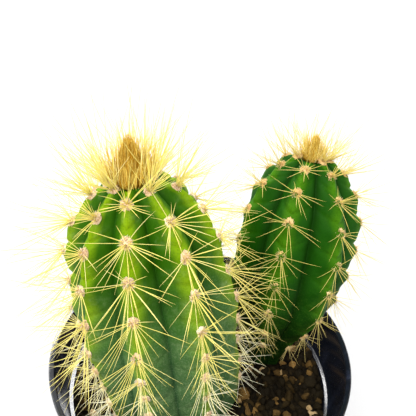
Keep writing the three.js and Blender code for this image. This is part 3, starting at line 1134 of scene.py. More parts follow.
@dataclass
class CactusStem:
    """One ribbed stem with its skin, areoles, wool and spines."""

    name: str
    node: str
    slot_name: str
    form: StemForm
    skin: SkinFinish
    spines: SpineFinish
    wool: WoolFinish
    habit: SpineHabit
    pad_radius: float
    folds: SkinRelief
    room: Array
    seed: int
    columns_per_rib: int = 34
    row_step: float = 0.5

    def surface(self, draft: MeshDraft) -> None:
        """Adds the skin, with swellings at the areoles, notches over them and sharp furrows."""
        form = self.form
        columns = np.arange(form.ribs * self.columns_per_rib) / self.columns_per_rib - 0.5
        straight = np.linspace(0, form.shoulder, int(form.shoulder * form.rise / self.row_step))
        dome_end, dome_rows = 86, 90
        climb = np.radians(np.linspace(0, dome_end, dome_rows))[1:]
        dome = form.shoulder + (1 - form.shoulder) * np.sin(climb)
        s = np.concatenate([straight, dome])
        s = s[form.crest_radius(s) > form.crown_seat + 0.4]
        share, q = np.meshgrid(s, columns, indexing="ij")
        relief, glow, dust = self.relief(share, q)
        points = form.skin_point(share, q, relief)
        around = len(columns)
        buried = self.buried_rings(columns)
        hollow = self.hollow_rings(columns, points[-1])
        root = np.array(form.foot) - [0, 0, form.burial]
        rings = np.concatenate([buried, points, hollow])
        skin, faces = closed_skin(rings, root, form.crown_seat_point())

        def pad(values: Array, low: float, high: float) -> Array:
            """Gives the buried rings, the hollow's rings and both ends a value too."""
            below = np.full(len(buried) * around, low)
            above = np.full(len(hollow) * around, high)
            return np.concatenate([below, values.ravel(), above, [low, high]])

        draft.add(
            skin,
            faces,
            off_crest=pad(off_crest(q), 1.0, 0.6),
            height=pad(share, 0.0, 1.0),
            glow=pad(glow, 0.0, 0.0),
            # dust holds the pale marks under the areoles: partly waxy bloom, partly a painted sheen.
            dust=pad(dust, 0.0, 0.0),
        )

    def relief(self, share: Array, q: Array) -> tuple[Array, Array, Array]:
        """Relief of the skin over its plain form, with the marks that areoles leave on its colour.

        Args:
            share: Share of the stem's height at each point.
            q: Rib coordinate at each point.

        Returns:
            The relief in millimetres, the fresh growth over each areole and the pale marks under it, partly
            waxy bloom and partly painted sheen, the last two in 0..1.
        """
        form, folds = self.form, self.folds
        above, below = folds.swell_fade
        table = np.linspace(1, 0, 1500)
        distance = travelled(form.skin_point(table, np.zeros_like(table)))
        below_crown = np.interp(-share, -table, distance)
        rib = np.round(q).astype(int) % form.ribs
        off = off_crest(q)
        relief, glow, dust = np.zeros_like(share), np.zeros_like(share), np.zeros_like(share)
        vigour = 0.3 + 0.7 * np.clip(share / 0.7, 0, 1)
        for k in range(form.ribs):
            on_rib = rib == k
            for mark in np.interp(-np.array(form.areole_shares(k)), -table, distance):
                down = below_crown - mark
                fold = down + folds.notch_above + folds.chevron * off
                slant = down - folds.bloom_sheen_below - folds.bloom_sheen_slant * off
                swell = folds.swell * bell(down, np.where(down > 0, below, above)) * (1 - off) ** 1.4
                notch = folds.notch * bell(fold, folds.notch_width) * (1 - off) ** 0.9
                relief += np.where(on_rib, (swell - notch) * vigour, 0)
                fresh = bell(down + folds.fresh_above, folds.fresh_width) * (1 - off) ** 3
                bloom_sheen = bell(slant, folds.bloom_sheen_width) * np.clip(off * 5, 0, 1) * (1 - off)
                glow = np.where(on_rib, np.maximum(glow, fresh), glow)
                dust = np.where(on_rib, np.maximum(dust, bloom_sheen), dust)
        place = form.skin_point(share, q)
        relief += 0.2 * lumps(place, 8, self.seed) + 0.05 * lumps(place, 2.4, self.seed + 1)
        relief -= 0.45 * bell(1 - off, 0.07) * (1 - 0.7 * share)
        relief -= folds.sharpness * form.furrow_depth(share) * (off**1.1 - off**form.furrow_power)
        return relief, glow, np.clip(dust * 2.2, 0, 1)

    def buried_rings(self, columns: Array) -> Array:
        """Rings of the part under the soil, narrowing to the root end."""
        form = self.form
        angle = form.rib_angle(columns, 0.0)
        inset, narrowing = 1.4, 0.4
        rings = []
        for depth in (1.0, 0.6, 0.25):
            radius = form.girth[0] * (1 - narrowing * depth**2) - inset
            ring = form.ring_point(np.zeros_like(columns), angle, np.full(columns.shape, radius))
            ring[:, 2] -= depth * form.burial
            rings.append(ring)
        return np.stack(rings)

    def hollow_rings(self, columns: Array, edge: Array) -> Array:
        """Rings that lead from the last ring of the dome into the crown's hollow."""
        form = self.form
        seat = form.crown_seat_point()
        floor_s = np.full(columns.shape, (seat[2] - form.foot[2]) / form.rise)
        radius = np.full(columns.shape, form.crown_seat)
        floor_ring = form.ring_point(floor_s, form.rib_angle(columns, 1.0), radius)
        return np.stack([edge * (1 - t) + floor_ring * t for t in (0.4, 0.75, 1.0)])

    def pads(self, draft: MeshDraft, areoles: Areoles) -> None:
        """Adds the woolly cushions of the areoles."""
        rng = np.random.default_rng(self.seed + 10)
        rings, sides = 7, 18
        climb = np.linspace(math.pi / 2, 0.12, rings)
        lift, reach = np.cos(climb), np.sin(climb)
        angle = round_turn(sides)
        count = rings * sides
        faces = [
            grid_faces(rings, sides)[:, ::-1],
            fan_faces(np.arange(count - sides, count), count, False),
            np.arange(sides)[None],
        ]
        plump, tall, wide = 0.62, 1.15, 0.95
        for i in range(len(areoles)):
            point, out = areoles.point[i], areoles.out[i]
            size = areoles.size[i] * self.pad_radius * rng.uniform(0.88, 1.02)
            height = size * plump
            wobble = 1 + 0.14 * rng.normal(size=(rings, sides, 1))
            flat = np.outer(reach, np.cos(angle))[..., None] * areoles.up[i] * tall
            flat = flat + np.outer(reach, np.sin(angle))[..., None] * areoles.across[i] * wide
            rise = (lift * height)[:, None, None] * out
            body = point - out * 0.2 + flat * size * wobble + rise * (0.85 + 0.15 * wobble)
            top = point + out * (height - 0.25)
            points = np.concatenate([body.reshape(-1, 3), [top]])
            draft.add(points, faces, along=0.3, tone=rng.uniform(0, 1), age=0.0)

    def pad_hairs(self, draft: MeshDraft, areoles: Areoles) -> None:
        """Adds the short felted hairs of the areoles."""
        rng = np.random.default_rng(self.seed + 20)
        each = 120
        count = len(areoles) * each
        pick = np.repeat(np.arange(len(areoles)), each)
        turn = rng.uniform(0, 2 * math.pi, count)
        away = np.sqrt(rng.uniform(0.02, 1, count))
        size = self.pad_radius * areoles.size[pick]
        flat, out = areoles.sideways(pick, turn), areoles.out[pick]
        dome = np.sqrt(1 - (away * 0.95) ** 2) * size * 0.6 - 0.25
        root = areoles.point[pick] + flat * (away * size * 0.85)[:, None] + out * dome[:, None]
        drift = rng.normal(scale=0.45, size=(count, 3))
        lean = unit(flat * away[:, None] * 1.3 + out * 0.7 + drift)
        length = rng.uniform(0.45, 1.25, count) * self.pad_radius / 1.7
        tips = root + lean * length[:, None]
        thick = np.full(count, 0.15)
        bend = rng.normal(scale=0.15, size=count)
        tone = rng.uniform(0, 1, count)
        Needles(root, tips, thick, bend, np.zeros(count), tone).draw(draft, sides=3, rings=3)

    def spine_plan(self, areoles: Areoles) -> Array:
        """Picks the spines of all areoles.

        Args:
            areoles: The areoles they grow from.

        Returns:
            One row a spine: the number of its areole, its turn from straight up and its lift off the skin
            in degrees, and its length as a share of the usual.
        """
        rng = np.random.default_rng(self.seed + 30)
        habit = self.habit
        rows = []
        for i in range(len(areoles)):
            youth = areoles.youth[i]
            low = np.clip(1 - areoles.share[i] / habit.foot_end, 0, 1)
            east, north, _ = areoles.out[i]
            aside = np.clip(north + 0.6, 0, 1) * np.clip(0.5 - east, 0, 1) * (1 - low) * (1 - youth)
            full = 1 - 0.4 * areoles.near[i]
            for turn, lift in habit.radials:
                upper = abs(turn) < habit.upper_turn
                missing = habit.upper_missing if upper else habit.lower_missing
                if rng.uniform() < missing + habit.foot_missing * low:
                    continue
                gain = rng.uniform(0.72, 1.08) * (0.5 if upper else 1.0) * full
                turned = turn + rng.normal(scale=habit.turn_spread)
                lifted = lift + rng.normal(scale=habit.lift_spread) + habit.young_lift * youth
                rows.append((i, turned, lifted, gain))
            groups = (
                (habit.centrals * (1 - 0.5 * low), CENTRALS),
                (habit.side_extras * aside, SIDE_EXTRAS),
                (habit.foot_extras * low, FOOT_EXTRAS),
                (habit.crown_extras * youth, CROWN_EXTRAS),
            )
            for count, group in groups:
                rows += [(i, *group.draw(rng)) for _ in range(round(count))]
        return np.array(rows)

    def spine_set(self, areoles: Areoles, blocked: Callable[[Array], Array]) -> Needles:
        """Lays out the spines of all areoles, each turned outwards until it is clear, or left out.

        Args:
            areoles: The areoles they grow from.
            blocked: Tells which points lie in or near the pot, the soil or the other stem.

        Returns:
            The spines.
        """
        rng = np.random.default_rng(self.seed + 31)
        habit = self.habit
        plan = self.spine_plan(areoles)
        pick = plan[:, 0].astype(int)
        turn, lift, gain = np.radians(plan[:, 1]), plan[:, 2], plan[:, 3]
        youth, share = areoles.youth[pick], areoles.share[pick]
        length = habit.length * gain * (1 + (habit.crown_gain - 1) * youth)
        grown = np.clip(share / habit.full_length_at, 0, 1)
        length *= habit.foot_length + (1 - habit.foot_length) * grown
        flat = areoles.sideways(pick, turn)
        size = self.pad_radius * areoles.size[pick]
        point, out = areoles.point[pick], areoles.out[pick]
        steep = np.sin(np.radians(np.clip(lift, 0, 90)))
        start = point + flat * (size * (0.55 - 0.4 * steep))[:, None] + out * (size * 0.3)[:, None]
        tips = np.zeros_like(start)
        hidden = np.ones(len(pick), bool)
        along = np.linspace(0.2, 1, 7)[None, :, None]
        for attempt in range(habit.attempts):
            above = np.radians(lift + attempt * habit.attempt_lift)
            heading = compass(above, flat, out) + self.form.axis * (0.25 * youth**2)[:, None]
            heading = unit(heading)
            reach = heading * (length * (1 - 0.08 * attempt))[:, None]
            room = np.where(reach > 0, self.room[1], self.room[0]) - point
            fit = np.min(room / np.where(np.abs(reach) > 1e-6, reach, 1e-6), axis=1)
            tips[hidden] = (point + out * 0.5 + reach * np.minimum(1, fit)[:, None])[hidden]
            hidden = blocked(start[:, None] * (1 - along) + tips[:, None] * along).any(axis=1)
            if not hidden.any():
                break
        keep = ~hidden
        LOG.info("%s: %d spines, %d left out", self.name, keep.sum(), hidden.sum())
        count = len(pick)
        slim = rng.uniform(0.82, 1.15, count) * (1 - 0.1 * youth - 0.32 * (1 - share))
        bend = rng.normal(scale=0.016, size=count)
        tone = rng.uniform(0, 1, count)
        parts = (start, tips, habit.thickness * slim, bend, 1 - share, tone)
        return Needles(*(part[keep] for part in parts), bulb=0.5)

    def build(self, blocked: Callable[[Array], Array]) -> bpy.types.Object:
        """Makes the stem.

        Args:
            blocked: Tells which points the spines keep clear of.

        Returns:
            The stem, standing for its solid.
        """
        areoles = Areoles.of(self.form)
        draft = MeshDraft()
        self.surface(draft)
        skin = draft.build(self.name + "_skin", [self.skin.material()])
        growth = MeshDraft()
        self.spine_set(areoles, blocked).draw(growth)
        spines = growth.build(self.name + "_spines", [self.spines.material()])
        felt = MeshDraft()
        self.pads(felt, areoles)
        self.pad_hairs(felt, areoles)
        wool = felt.build(self.name + "_areoles", [self.wool.material()])
        for piece in (skin, spines, wool):
            dress(piece, self.node)
        return skin


@dataclass
class CrownTuft:
    """Golden wool and young upright spines on a crown.

    The fan gives the mean tilt of the young spines from upright, in degrees, in their inner and outer ring.
    """

    name: str
    node: str
    form: StemForm
    wool: WoolFinish
    spines: SpineFinish
    height: float
    radius: float
    seed: int
    cone_share: float
    bristles: int = 1400
    cluster: int = 7
    fan: tuple[float, float] = (12, 38)
    fan_spread: float = 13
    fan_limit: float = 75
    core_sides: int = 96

    @property
    def cone_height(self) -> float:
        """Height of the felted cone in the middle."""
        return self.height * self.cone_share

    def stand(self, points: Array) -> Array:
        """Moves points from the tuft's own frame on to the crown."""
        return points + self.form.crown_seat_point()

    def core(self, draft: MeshDraft) -> None:
        """Adds the felted cone in the middle."""
        sides, tall, radius = self.core_sides, self.cone_height, self.radius
        profile = [
            (0.02, -0.6),
            (radius, -0.6),
            (radius * 0.94, tall * 0.14),
            (radius * 0.66, tall * 0.42),
            (radius * 0.3, tall * 0.74),
            (0.2, tall),
            (0.02, tall + 0.2),
        ]
        points, faces = turned_skin(rounded(profile, 1.3, 5), sides)
        rng = np.random.default_rng(self.seed)
        turn = round_turn(sides)
        strands = 1 + 0.05 * np.sin(turn * 23) + 0.04 * np.sin(turn * 11 + 1)
        rough = 1 + rng.normal(scale=0.02, size=(len(points), sides, 1))
        points[..., :2] *= strands[None, :, None] * rough
        height = points[..., 2].ravel() / tall
        tone = np.tile(rng.uniform(0.1, 0.9, sides), len(points))
        # Painted light: the cone pales towards its foot, to lift the shade that falls there.
        along = np.clip(0.8 - height, 0, 1)
        draft.add(self.stand(points), faces, along=along, tone=tone, age=0.0)

    def bristle_set(self) -> Needles:
        """Lays out the fine bristles that close to a point over the wool."""
        rng = np.random.default_rng(self.seed + 1)
        count, tall = self.bristles, self.cone_height
        turn = rng.uniform(0, 2 * math.pi, count)
        rise = rng.uniform(0, 0.78, count) ** 1.3
        away = self.radius * (1 - rise) ** 0.85 * rng.uniform(0.9, 1.08, count)
        round_ = np.stack([np.cos(turn), np.sin(turn)], axis=-1)
        root = np.column_stack([round_ * away[:, None], rise * tall])
        reach = rng.uniform(0.16, 0.44, count) * tall
        closing = reach * self.radius / tall * rng.uniform(0.1, 1.1, count)
        drift = rng.normal(scale=0.4, size=(count, 2))
        tip = np.column_stack([round_ * (away - closing)[:, None] + drift, rise * tall + reach])
        bend = rng.normal(scale=0.03, size=count)
        thick = rng.uniform(0.14, 0.24, count)
        tone = rng.uniform(0, 1, count)
        return Needles(self.stand(root), self.stand(tip), thick, bend, np.zeros(count), tone)

    def skirt(self) -> Needles:
        """Lays out the golden bristles that stand close round the cone's foot."""
        rng = np.random.default_rng(self.seed + 3)
        count = self.bristles // 5
        turn = rng.uniform(0, 2 * math.pi, count)
        away = self.radius * rng.uniform(0.75, 1.25, count)
        round_ = np.stack([np.cos(turn), np.sin(turn), np.zeros(count)], axis=-1)
        lift = np.array([0.0, 0.0, 1.0])
        front = 0.5 - 0.5 * np.sin(turn)
        heading = compass(np.radians(rng.uniform(-6, 20, count)), lift, round_)
        length = self.cone_height * rng.uniform(0.35, 1.0, count) * (1 - 0.55 * front**2)
        root = round_ * away[:, None] + lift * rng.uniform(-0.2, 0.8, count)[:, None]
        tip = root + heading * length[:, None] + rng.normal(scale=0.5, size=(count, 3)) * [1, 1, 0]
        bend = rng.normal(scale=0.03, size=count)
        thick = rng.uniform(0.16, 0.3, count)
        tone = rng.uniform(0.2, 1, count)
        return Needles(self.stand(root), self.stand(tip), thick, bend, np.zeros(count), tone)

    def young_spines(self) -> Needles:
        """Lays out the young spines round the wool, in clusters on each rib but the front one."""
        rng = np.random.default_rng(self.seed + 2)
        form = self.form
        rib = np.repeat(np.arange(1, form.ribs), 2 * self.cluster)
        ring = np.tile(np.repeat([0.0, 1.0], self.cluster), form.ribs - 1)
        count = len(rib)
        middle = form.rib_angle(rib, 1.0) + 0.12 * rng.normal(size=form.ribs)[rib] - math.pi / 2
        away = self.radius * (0.9 + 0.55 * ring) + rng.uniform(-0.6, 0.6, count)
        turn = middle + rng.normal(scale=0.26, size=count)
        root = np.stack([away * np.cos(turn), away * np.sin(turn), rng.uniform(0.2, 1.2, count)], axis=-1)
        inner, outer = self.fan
        spread = rng.normal(scale=self.fan_spread, size=count)
        tilt = np.radians(np.clip(inner + (outer - inner) * ring + spread, 0, self.fan_limit))
        facing = turn + rng.normal(scale=0.6, size=count)
        level = np.sin(tilt)
        heading = np.column_stack([level * np.cos(facing), level * np.sin(facing), np.cos(tilt)])
        length = self.height * np.clip(0.74 + rng.normal(scale=0.2, size=count), 0.35, 1.08)
        length *= 0.84 + 0.16 * np.sin(turn)
        tip = root + heading * length[:, None]
        bend = rng.normal(scale=0.014, size=count)
        thick = rng.uniform(0.13, 0.2, count)
        age = rng.uniform(0.3, 1, count)
        tone = rng.uniform(0, 0.8, count)
        return Needles(self.stand(root), self.stand(tip), thick, bend, age, tone, bulb=0.5)

    def build(self) -> bpy.types.Object:
        """Makes the tuft.

        Returns:
            The tuft's wool, standing for its solid.
        """
        felt = MeshDraft()
        self.core(felt)
        self.bristle_set().draw(felt, sides=3, rings=4)
        self.skirt().draw(felt, sides=4, rings=5)
        wool = felt.build(self.name + "_wool", [self.wool.material()])
        growth = MeshDraft()
        self.young_spines().draw(growth)
        spines = growth.build(self.name + "_spines", [self.spines.material()])
        for piece in (wool, spines):
            dress(piece, self.node)
        return wool


@dataclass
class GrittySoil:
    """Dark soil with a cover of crushed tan grit."""

    pot: NurseryPot
    stems: tuple[StemForm, ...]
    grain_spacing: float = 3.1
    grain_scatter: float = 0.55
    grain_shapes: int = 12
    cuts: int = 13
    sink: float = 0.7
    seed: int = 5

    def bed(self, draft: MeshDraft) -> None:
        """Adds the soil's crumbly surface, its side and its underside."""
        pot = self.pot
        top, edge = pot.ledge_z, pot.ledge_inner - 0.3
        foot = pot.base_radius - pot.wall - 0.3
        rings, sides = 70, 240
        radius = np.linspace(edge, 0.4, rings)
        angle = round_turn(sides)
        x, y = np.outer(radius, np.cos(angle)), np.outer(radius, np.sin(angle))
        flat = np.stack([x, y, np.zeros_like(x)], axis=-1)
        z = top - self.sink + 0.55 * lumps(flat, 9, 3) + 0.4 * lumps(flat, 3.2, 4)
        surface = np.stack([x, y, np.minimum(z, top + 0.6)], axis=-1)
        lower = [
            np.column_stack([r * np.cos(angle), r * np.sin(angle), np.full(sides, h)])
            for r, h in ((foot * 0.98, pot.floor + 0.3), (foot, pot.floor + 1.5), (edge - 0.3, top - 5))
        ]
        body = np.concatenate([np.stack(lower), surface])
        draft.add(*closed_skin(body, (0, 0, pot.floor + 0.3), (0, 0, top - self.sink)))

    def prototypes(self, rng: np.random.Generator) -> tuple[list[Array], Array]:
        """Makes a few angular grains, each cut by random planes, and their shared faces."""
        bpy.ops.mesh.primitive_ico_sphere_add(subdivisions=3, radius=1)
        ball = bpy.context.object
        mesh = ball.data
        rays = np.array([v.co for v in mesh.vertices])
        faces = np.array([list(p.vertices) for p in mesh.polygons])
        bpy.data.objects.remove(ball)
        bpy.data.meshes.remove(mesh)
        shapes = []
        grazing, crispness = 0.05, 14
        for _ in range(self.grain_shapes):
            normals = unit(rng.normal(size=(self.cuts, 3)))
            depth = rng.uniform(0.62, 1.0, self.cuts)
            facing = rays @ normals.T
            reach = np.where(facing > grazing, depth / np.maximum(facing, grazing), np.inf)
            radius = -np.log(np.exp(-reach * crispness).sum(axis=1)) / crispness
            radius = np.clip(radius, 0.3, 1.25) + 0.03 * lumps(rays * 3, 1.5, int(rng.integers(1000)))
            shapes.append(rays * radius[:, None])
        return shapes, faces

    def grains(self, draft: MeshDraft) -> None:
        """Adds the grains, packed closely in two layers over the soil."""
        rng = np.random.default_rng(self.seed)
        shapes, faces = self.prototypes(rng)
        reach = self.pot.ledge_inner
        pitch, scatter, row_share = self.grain_spacing, self.grain_scatter, 0.87
        across = range(-20, 21)
        places = []
        for layer in range(2):
            for i in across:
                for j in across:
                    x = (i + 0.5 * (j % 2) + 0.5 * layer) * pitch + rng.normal(scale=scatter)
                    y = j * pitch * row_share + rng.normal(scale=scatter)
                    places.append((x, y, layer))
        sizes, chances = (1.0, 1.4, 1.9, 2.4), (0.3, 0.35, 0.25, 0.1)
        for x, y, layer in places:
            size = rng.choice(sizes, p=chances) * rng.uniform(0.85, 1.15)
            tilt = Matrix.Rotation(rng.uniform(0, 6.28), 3, Vector(unit(rng.normal(size=3))))
            turn = Matrix.Rotation(rng.uniform(0, 6.28), 3, "Z") @ tilt
            shape = shapes[int(rng.integers(len(shapes)))] * rng.uniform(0.75, 1.15, 3) * size
            height = self.pot.ledge_z - self.sink + layer * rng.uniform(0.2, 1.5)
            tone = np.clip(rng.beta(1.4, 2.2) + 0.1 * layer, 0, 1)
            centre = np.array([x, y, height])
            if math.hypot(x, y) > reach - size * 0.5 or (layer and rng.uniform() < 0.45):
                continue
            if any(form.contains(centre + [0, 0, 1.5], size * 0.55) for form in self.stems):
                continue
            draft.add(shape @ np.array(turn).T + centre, faces, tone=tone)

    def build(self) -> bpy.types.Object:
        """Makes the soil and its grit.

        Returns:
            The soil, standing for its solid.
        """
        ground = MeshDraft()
        self.bed(ground)
        bed = ground.build("soil_bed", [SoilFinish().material()])
        cover = MeshDraft()
        self.grains(cover)
        grit = cover.build("soil_grit", [GritFinish().material()])
        for piece in (bed, grit):
            dress(piece, "soil")
        return bed


def weld(piece: bpy.types.Object) -> None:
    """Joins the points of a mesh that lie in the same place."""
    mesh = bmesh.new()
    mesh.from_mesh(piece.data)
    bmesh.ops.remove_doubles(mesh, verts=mesh.verts, dist=0.02 * MM)
    bmesh.ops.recalc_face_normals(mesh, faces=mesh.faces)
    mesh.to_mesh(piece.data)
    mesh.free()


def dress(piece: bpy.types.Object, node: str) -> bpy.types.Object:
    """Puts a piece in the place of a solid.

    Args:
        piece: The finished piece.
        node: Name of the solid that it stands for.

    Returns:
        The same piece.
    """
    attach(piece, BODY)
    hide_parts(node)
    return piece


# ---- studio ---------------------------------------------------------------------------------------


def grey(level: float) -> Colour:
    """Grey of one level, in linear light."""
    return (level, level, level, 1.0)


@dataclass(frozen=True)
class Softbox:
    """One lamp that faces the plant: its place, its width and height in millimetres, its power in watts."""

    place: tuple[float, float, float]
    size: tuple[float, float]
    power: float


SOFTBOXES = {
    "back_top": Softbox((0, 640, 800), (1300, 170), 15),
    "key_front": Softbox((-330, -560, 820), (420, 420), 9.5),
    "side_left": Softbox((-760, 60, 420), (300, 420), 1.5),
    "side_right": Softbox((760, -160, 380), (300, 420), 1.6),
}


@dataclass
class Studio:
    """Camera, lights and the pale floor.

    The picture's width and the focal length are in pixels and the camera's angles in degrees. The floor's
    zones, where its glow grows, are distances from the pot's base in metres.
    """

    picture: float = 416.0
    focal: float = 390.0
    sensor: float = 36.0
    pitch: float = 27.6
    roll: float = 3.12
    eye: tuple[float, float, float] = (-0.42, -119.8, 227.9)
    aim: tuple[float, float, float] = (0, 0, 120)
    floor_reach: float = 3000.0
    floor_bend: float = 1200.0
    wall_top: float = 3200.0
    floor_drop: float = 0.05
    floor_sides: int = 96
    shadow_zone: tuple[float, float] = (0.04, 0.1)
    far_zone: tuple[float, float] = (0.3, 1.6)
    glow_levels: tuple[float, float, float] = (0.08, 0.16, 0.74)
    sky: float = 0.78

    def camera(self) -> None:
        """Places the camera as the photograph's."""
        data = bpy.data.cameras.new("camera")
        data.sensor_width = self.sensor
        data.lens = data.sensor_width * self.focal / self.picture
        data.clip_start = 1 * MM
        made = link_new("camera", data)
        tilt = Matrix.Rotation(math.radians(90 - self.pitch), 4, "X")
        turn = Matrix.Rotation(math.radians(self.roll), 4, "Z")
        made.matrix_world = Matrix.Translation(Vector(self.eye) * MM) @ tilt @ turn
        bpy.context.scene.camera = made

    def floor(self) -> None:
        """Lays the round floor, which sweeps up far away on all sides.

        It glows least under the pot, which paints a soft shadow round its foot, and most far away.
        """
        draft = MeshDraft()
        reach, bend = self.floor_reach, self.floor_bend
        turn = np.linspace(0, math.pi / 2, 20)
        flat = [1.0, 400.0, 900.0, 1500.0]
        radius = np.concatenate([flat, reach + bend * np.sin(turn), [reach + bend]])
        height = np.concatenate([np.zeros(len(flat)), bend * (1 - np.cos(turn)), [self.wall_top]])
        profile = list(zip(radius, height - self.floor_drop))
        points, faces = turned_skin(profile, self.floor_sides)
        draft.add(points, faces[:, ::-1])
        draft.add(points[0], np.arange(self.floor_sides)[None])
        g = Graph("pale floor")
        pale = g.mix(g.noise(400, 1.0) * 0.03, srgb(162, 162, 162), srgb(158, 158, 158))
        away = g.node("ShaderNodeVectorMath", {"operation": "LENGTH"}, {0: g.place()}, "Value")
        least, middle, most = self.glow_levels
        # Painted shadow: the glow fades towards the pot's foot.
        glow = g.mix(away.ramp(*self.far_zone), grey(middle), grey(most))
        glow = g.mix(away.ramp(*self.shadow_zone), grey(least), glow)
        material = g.finish(
            Base_Color=pale, Roughness=0.9, Emission_Color=glow, Emission_Strength=1.0
        )
        draft.build("floor", [material])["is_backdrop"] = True

    def lamp(self, name: str, box: Softbox) -> None:
        """Adds one softbox under a name."""
        data = bpy.data.lights.new(name, "AREA")
        data.shape = "RECTANGLE"
        data.size, data.size_y = box.size[0] * MM, box.size[1] * MM
        data.energy = box.power
        made = link_new(name, data)
        made.location = Vector(box.place) * MM
        made.rotation_mode = "QUATERNION"
        made.rotation_quaternion = (Vector(self.aim) - Vector(box.place)).to_track_quat("-Z", "Y")

    def lights(self) -> None:
        """Sets the soft studio light."""
        world = bpy.data.worlds.new("studio")
        bpy.context.scene.world = world
        world.use_nodes = True
        sky = world.node_tree.nodes["Background"].inputs
        sky["Color"].default_value = grey(1)
        sky["Strength"].default_value = self.sky
        for name, box in SOFTBOXES.items():
            self.lamp(name, box)
        bpy.context.scene.view_settings.view_transform = "Standard"

    def build(self) -> None:
        """Sets the studio up."""
        self.camera()
        self.floor()
        self.lights()


# ---- this plant -----------------------------------------------------------------------------------


class StemKind(Enum):
    """The two stems in the pot."""

    MAIN = "main"
    REAR = "rear"


POT = NurseryPot()

FORMS = {
    StemKind.MAIN: StemForm(
        foot=(-8.6, -10, POT.ledge_z),
        crown=(-22.7, -20.2, 184.5),
        bow=-0.6,
        ribs=8,
        rib_azimuth=4.5,
        rib_shifts=(0, -3, -3, 1, 5, 8.5, 12, 7.5),
        twist=-15.2,
        girth=(24.5, 26.5, 26.4, 27.4, 24.1),
        shoulder=0.7,
        dome_power=1.9,
        furrow=(2.6, 6.4),
        burial=12,
        first_areoles=(10.7, 8.7, 13.3, 10, 12.5, 9.5, 11.7, 15.2),
        spacing=10.1,
        spacing_swell=3.2,
        swell_place=37,
        swell_reach=11,
        young_areoles=(0, 0, 6.4, 4.8, 6, 0, 6.2, 6.4),
    ),
    StemKind.REAR: StemForm(
        foot=(28.8, 13.2, POT.ledge_z),
        crown=(37, 16.7, 181.2),
        bow=1.3,
        ribs=7,
        rib_azimuth=-25.7,
        rib_shifts=(0, 0, 0, 0, 0, 0, 0),
        twist=6.1,
        girth=(10, 13.9, 21.4, 23.6, 23.4),
        shoulder=0.64,
        dome_power=1.9,
        furrow=(1.6, 5),
        burial=10,
        first_areoles=(10.6, 12.1, 13.4, 11.2, 12.6, 10.9, 12.8),
        spacing=12.8,
        spacing_swell=-3.6,
        swell_place=10,
        swell_reach=14,
        young_areoles=(0, 5.6, 6.2, 0, 5.8, 0, 6.2),
    ),
}

# Crest colours hold some painted highlight and furrow colours some painted shade.
MAIN_SKIN = SkinFinish(
    name="yellow-green skin",
    crown_crest=srgb(104, 138, 2),
    crown_flank=srgb(42, 86, 1),
    crown_furrow=srgb(30, 74, 1),
    foot_crest=srgb(104, 128, 52),
    foot_flank=srgb(68, 98, 58),
    foot_furrow=srgb(48, 80, 48),
    glow=srgb(118, 148, 4),
    wax_and_sheen=srgb(146, 166, 118),
    wax_sheen_share=0.5,
    crest_reach=0.36,
    foot_reach=0.63,
)
REAR_SKIN = SkinFinish(
    name="deep green skin",
    crown_crest=srgb(48, 94, 3),
    crown_flank=srgb(19, 68, 1),
    crown_furrow=srgb(12, 50, 1),
    # Foot colours: partly the stem's own deep green, partly painted shade for the gap between the stems.
    foot_crest=srgb(26, 52, 9),
    foot_flank=srgb(8, 31, 4),
    foot_furrow=srgb(6, 22, 2),
    glow=srgb(66, 116, 10),
    wax_and_sheen=srgb(84, 124, 40),
    wax_sheen_share=0.22,
    crest_reach=0.3,
    foot_reach=0.5,
)
GOLDEN_SPINES = SpineFinish(
    name="golden spines",
    root=srgb(226, 202, 116),
    young=srgb(230, 216, 108),
    old=srgb(248, 246, 222),
    tip=srgb(206, 184, 96),
)
REAR_SPINES = SpineFinish(
    name="tan spines",
    root=srgb(212, 180, 112),
    young=srgb(214, 196, 98),
    old=srgb(200, 182, 112),
    tip=srgb(190, 168, 82),
)
CROWN_SPINES = SpineFinish(
    name="young spines",
    root=srgb(204, 170, 84),
    young=srgb(214, 190, 96),
    old=srgb(246, 234, 162),
    tip=srgb(232, 216, 130),
)
AREOLE_WOOL = WoolFinish(
    name="areole wool", deep=srgb(222, 190, 148), pale=srgb(253, 242, 216), dot=srgb(148, 84, 58)
)
REAR_WOOL = WoolFinish(
    name="tan areole wool", deep=srgb(204, 166, 104), pale=srgb(242, 222, 170), dot=srgb(156, 108, 60)
)
CROWN_WOOL = WoolFinish(
    name="crown wool", deep=srgb(188, 140, 30), pale=srgb(236, 212, 108), dot=srgb(154, 108, 20)
)

MAIN_RADIALS = both_sides(
    (22, 36), (52, 34), (80, 32), (97, 31), (112, 31), (126, 32), (140, 34), (155, 36), (171, 38)
)
REAR_RADIALS = both_sides((30, 30), (74, 25), (100, 24), (128, 25), (154, 28)) + ((178, 30),)
MAIN_HABIT = SpineHabit(
    length=17,
    crown_gain=1.3,
    thickness=0.185,
    radials=MAIN_RADIALS,
    centrals=5,
    side_extras=5,
    foot_extras=0,
    crown_extras=8,
)
REAR_HABIT = SpineHabit(
    length=14,
    crown_gain=1.25,
    thickness=0.165,
    radials=REAR_RADIALS,
    centrals=3,
    side_extras=3,
    foot_extras=3,
    crown_extras=8,
)


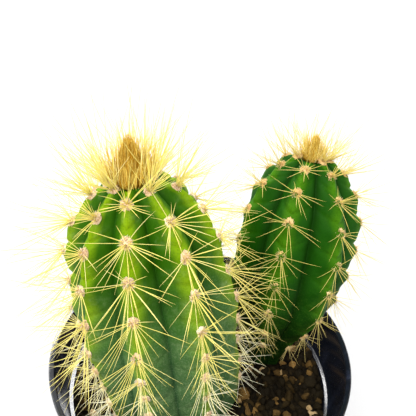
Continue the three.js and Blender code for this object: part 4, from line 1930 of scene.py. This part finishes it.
def keep_clear(
    other: StemForm, pot_gap: float = 0.8, soil_gap: float = 1.2, stem_gap: float = 0.6
) -> Callable[[Array], Array]:
    """Makes the test that keeps one stem's spines out of the pot, the soil and the other stem.

    Args:
        other: The other stem.
        pot_gap: Space kept to the pot.
        soil_gap: Space kept to the soil.
        stem_gap: Space kept to the other stem.

    Returns:
        The test, which tells which points are blocked.
    """

    def blocked(points: Array) -> Array:
        """Tells which points lie in or near the pot, the soil or the other stem."""
        radius = np.hypot(points[..., 0], points[..., 1])
        collar = (points[..., 2] < POT.height + pot_gap) & (radius > POT.ledge_outer - pot_gap)
        ground = points[..., 2] < POT.ledge_z + soil_gap
        return collar | ground | other.contains(points, stem_gap)

    return blocked


def spine_room(solid_box: Array, share: float = 0.022) -> Array:
    """Box that no spine leaves: the solids' own box and a share of its size more on each side."""
    margin = share * (solid_box[1] - solid_box[0])
    return np.stack([solid_box[0] - margin, solid_box[1] + margin])


def main() -> None:
    """Builds the potted plant and its studio."""
    logging.basicConfig(level=logging.INFO, format="%(name)s %(message)s")
    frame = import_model()
    solid_box = [list(corner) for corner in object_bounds()]
    LOG.info("dressing %d solids", len(frame["nodes"]))
    room = spine_room(np.array(solid_box) / MM)
    Studio().build()
    main_form, rear_form = FORMS[StemKind.MAIN], FORMS[StemKind.REAR]
    POT.build()
    GrittySoil(POT, (main_form, rear_form)).build()
    CactusStem(
        name="main_stem",
        node="stem_main",
        slot_name="stem_light_green",
        form=main_form,
        skin=MAIN_SKIN,
        spines=GOLDEN_SPINES,
        wool=AREOLE_WOOL,
        habit=MAIN_HABIT,
        pad_radius=1.66,
        folds=SkinRelief(swell=0.9, notch=0.9, chevron=3.0, sharpness=0.9),
        room=room,
        seed=11,
    ).build(keep_clear(rear_form))
    CactusStem(
        name="rear_stem",
        node="stem_rear",
        slot_name="stem_dark_green",
        form=rear_form,
        skin=REAR_SKIN,
        spines=REAR_SPINES,
        wool=REAR_WOOL,
        habit=REAR_HABIT,
        pad_radius=1.8,
        folds=SkinRelief(swell=1.3, notch=1.0, chevron=4.5, sharpness=0.5),
        room=room,
        seed=47,
    ).build(keep_clear(main_form))
    CrownTuft(
        name="main_crown",
        node="crown_main",
        form=main_form,
        wool=CROWN_WOOL,
        spines=CROWN_SPINES,
        height=18.5,
        radius=4.6,
        seed=71,
        cone_share=0.7,
    ).build()
    CrownTuft(
        name="rear_crown",
        node="crown_rear",
        form=rear_form,
        wool=CROWN_WOOL,
        spines=CROWN_SPINES,
        height=17.5,
        radius=3.1,
        seed=83,
        cone_share=0.52,
        fan=(14, 48),
    ).build()


if __name__ == "__main__":
    main()
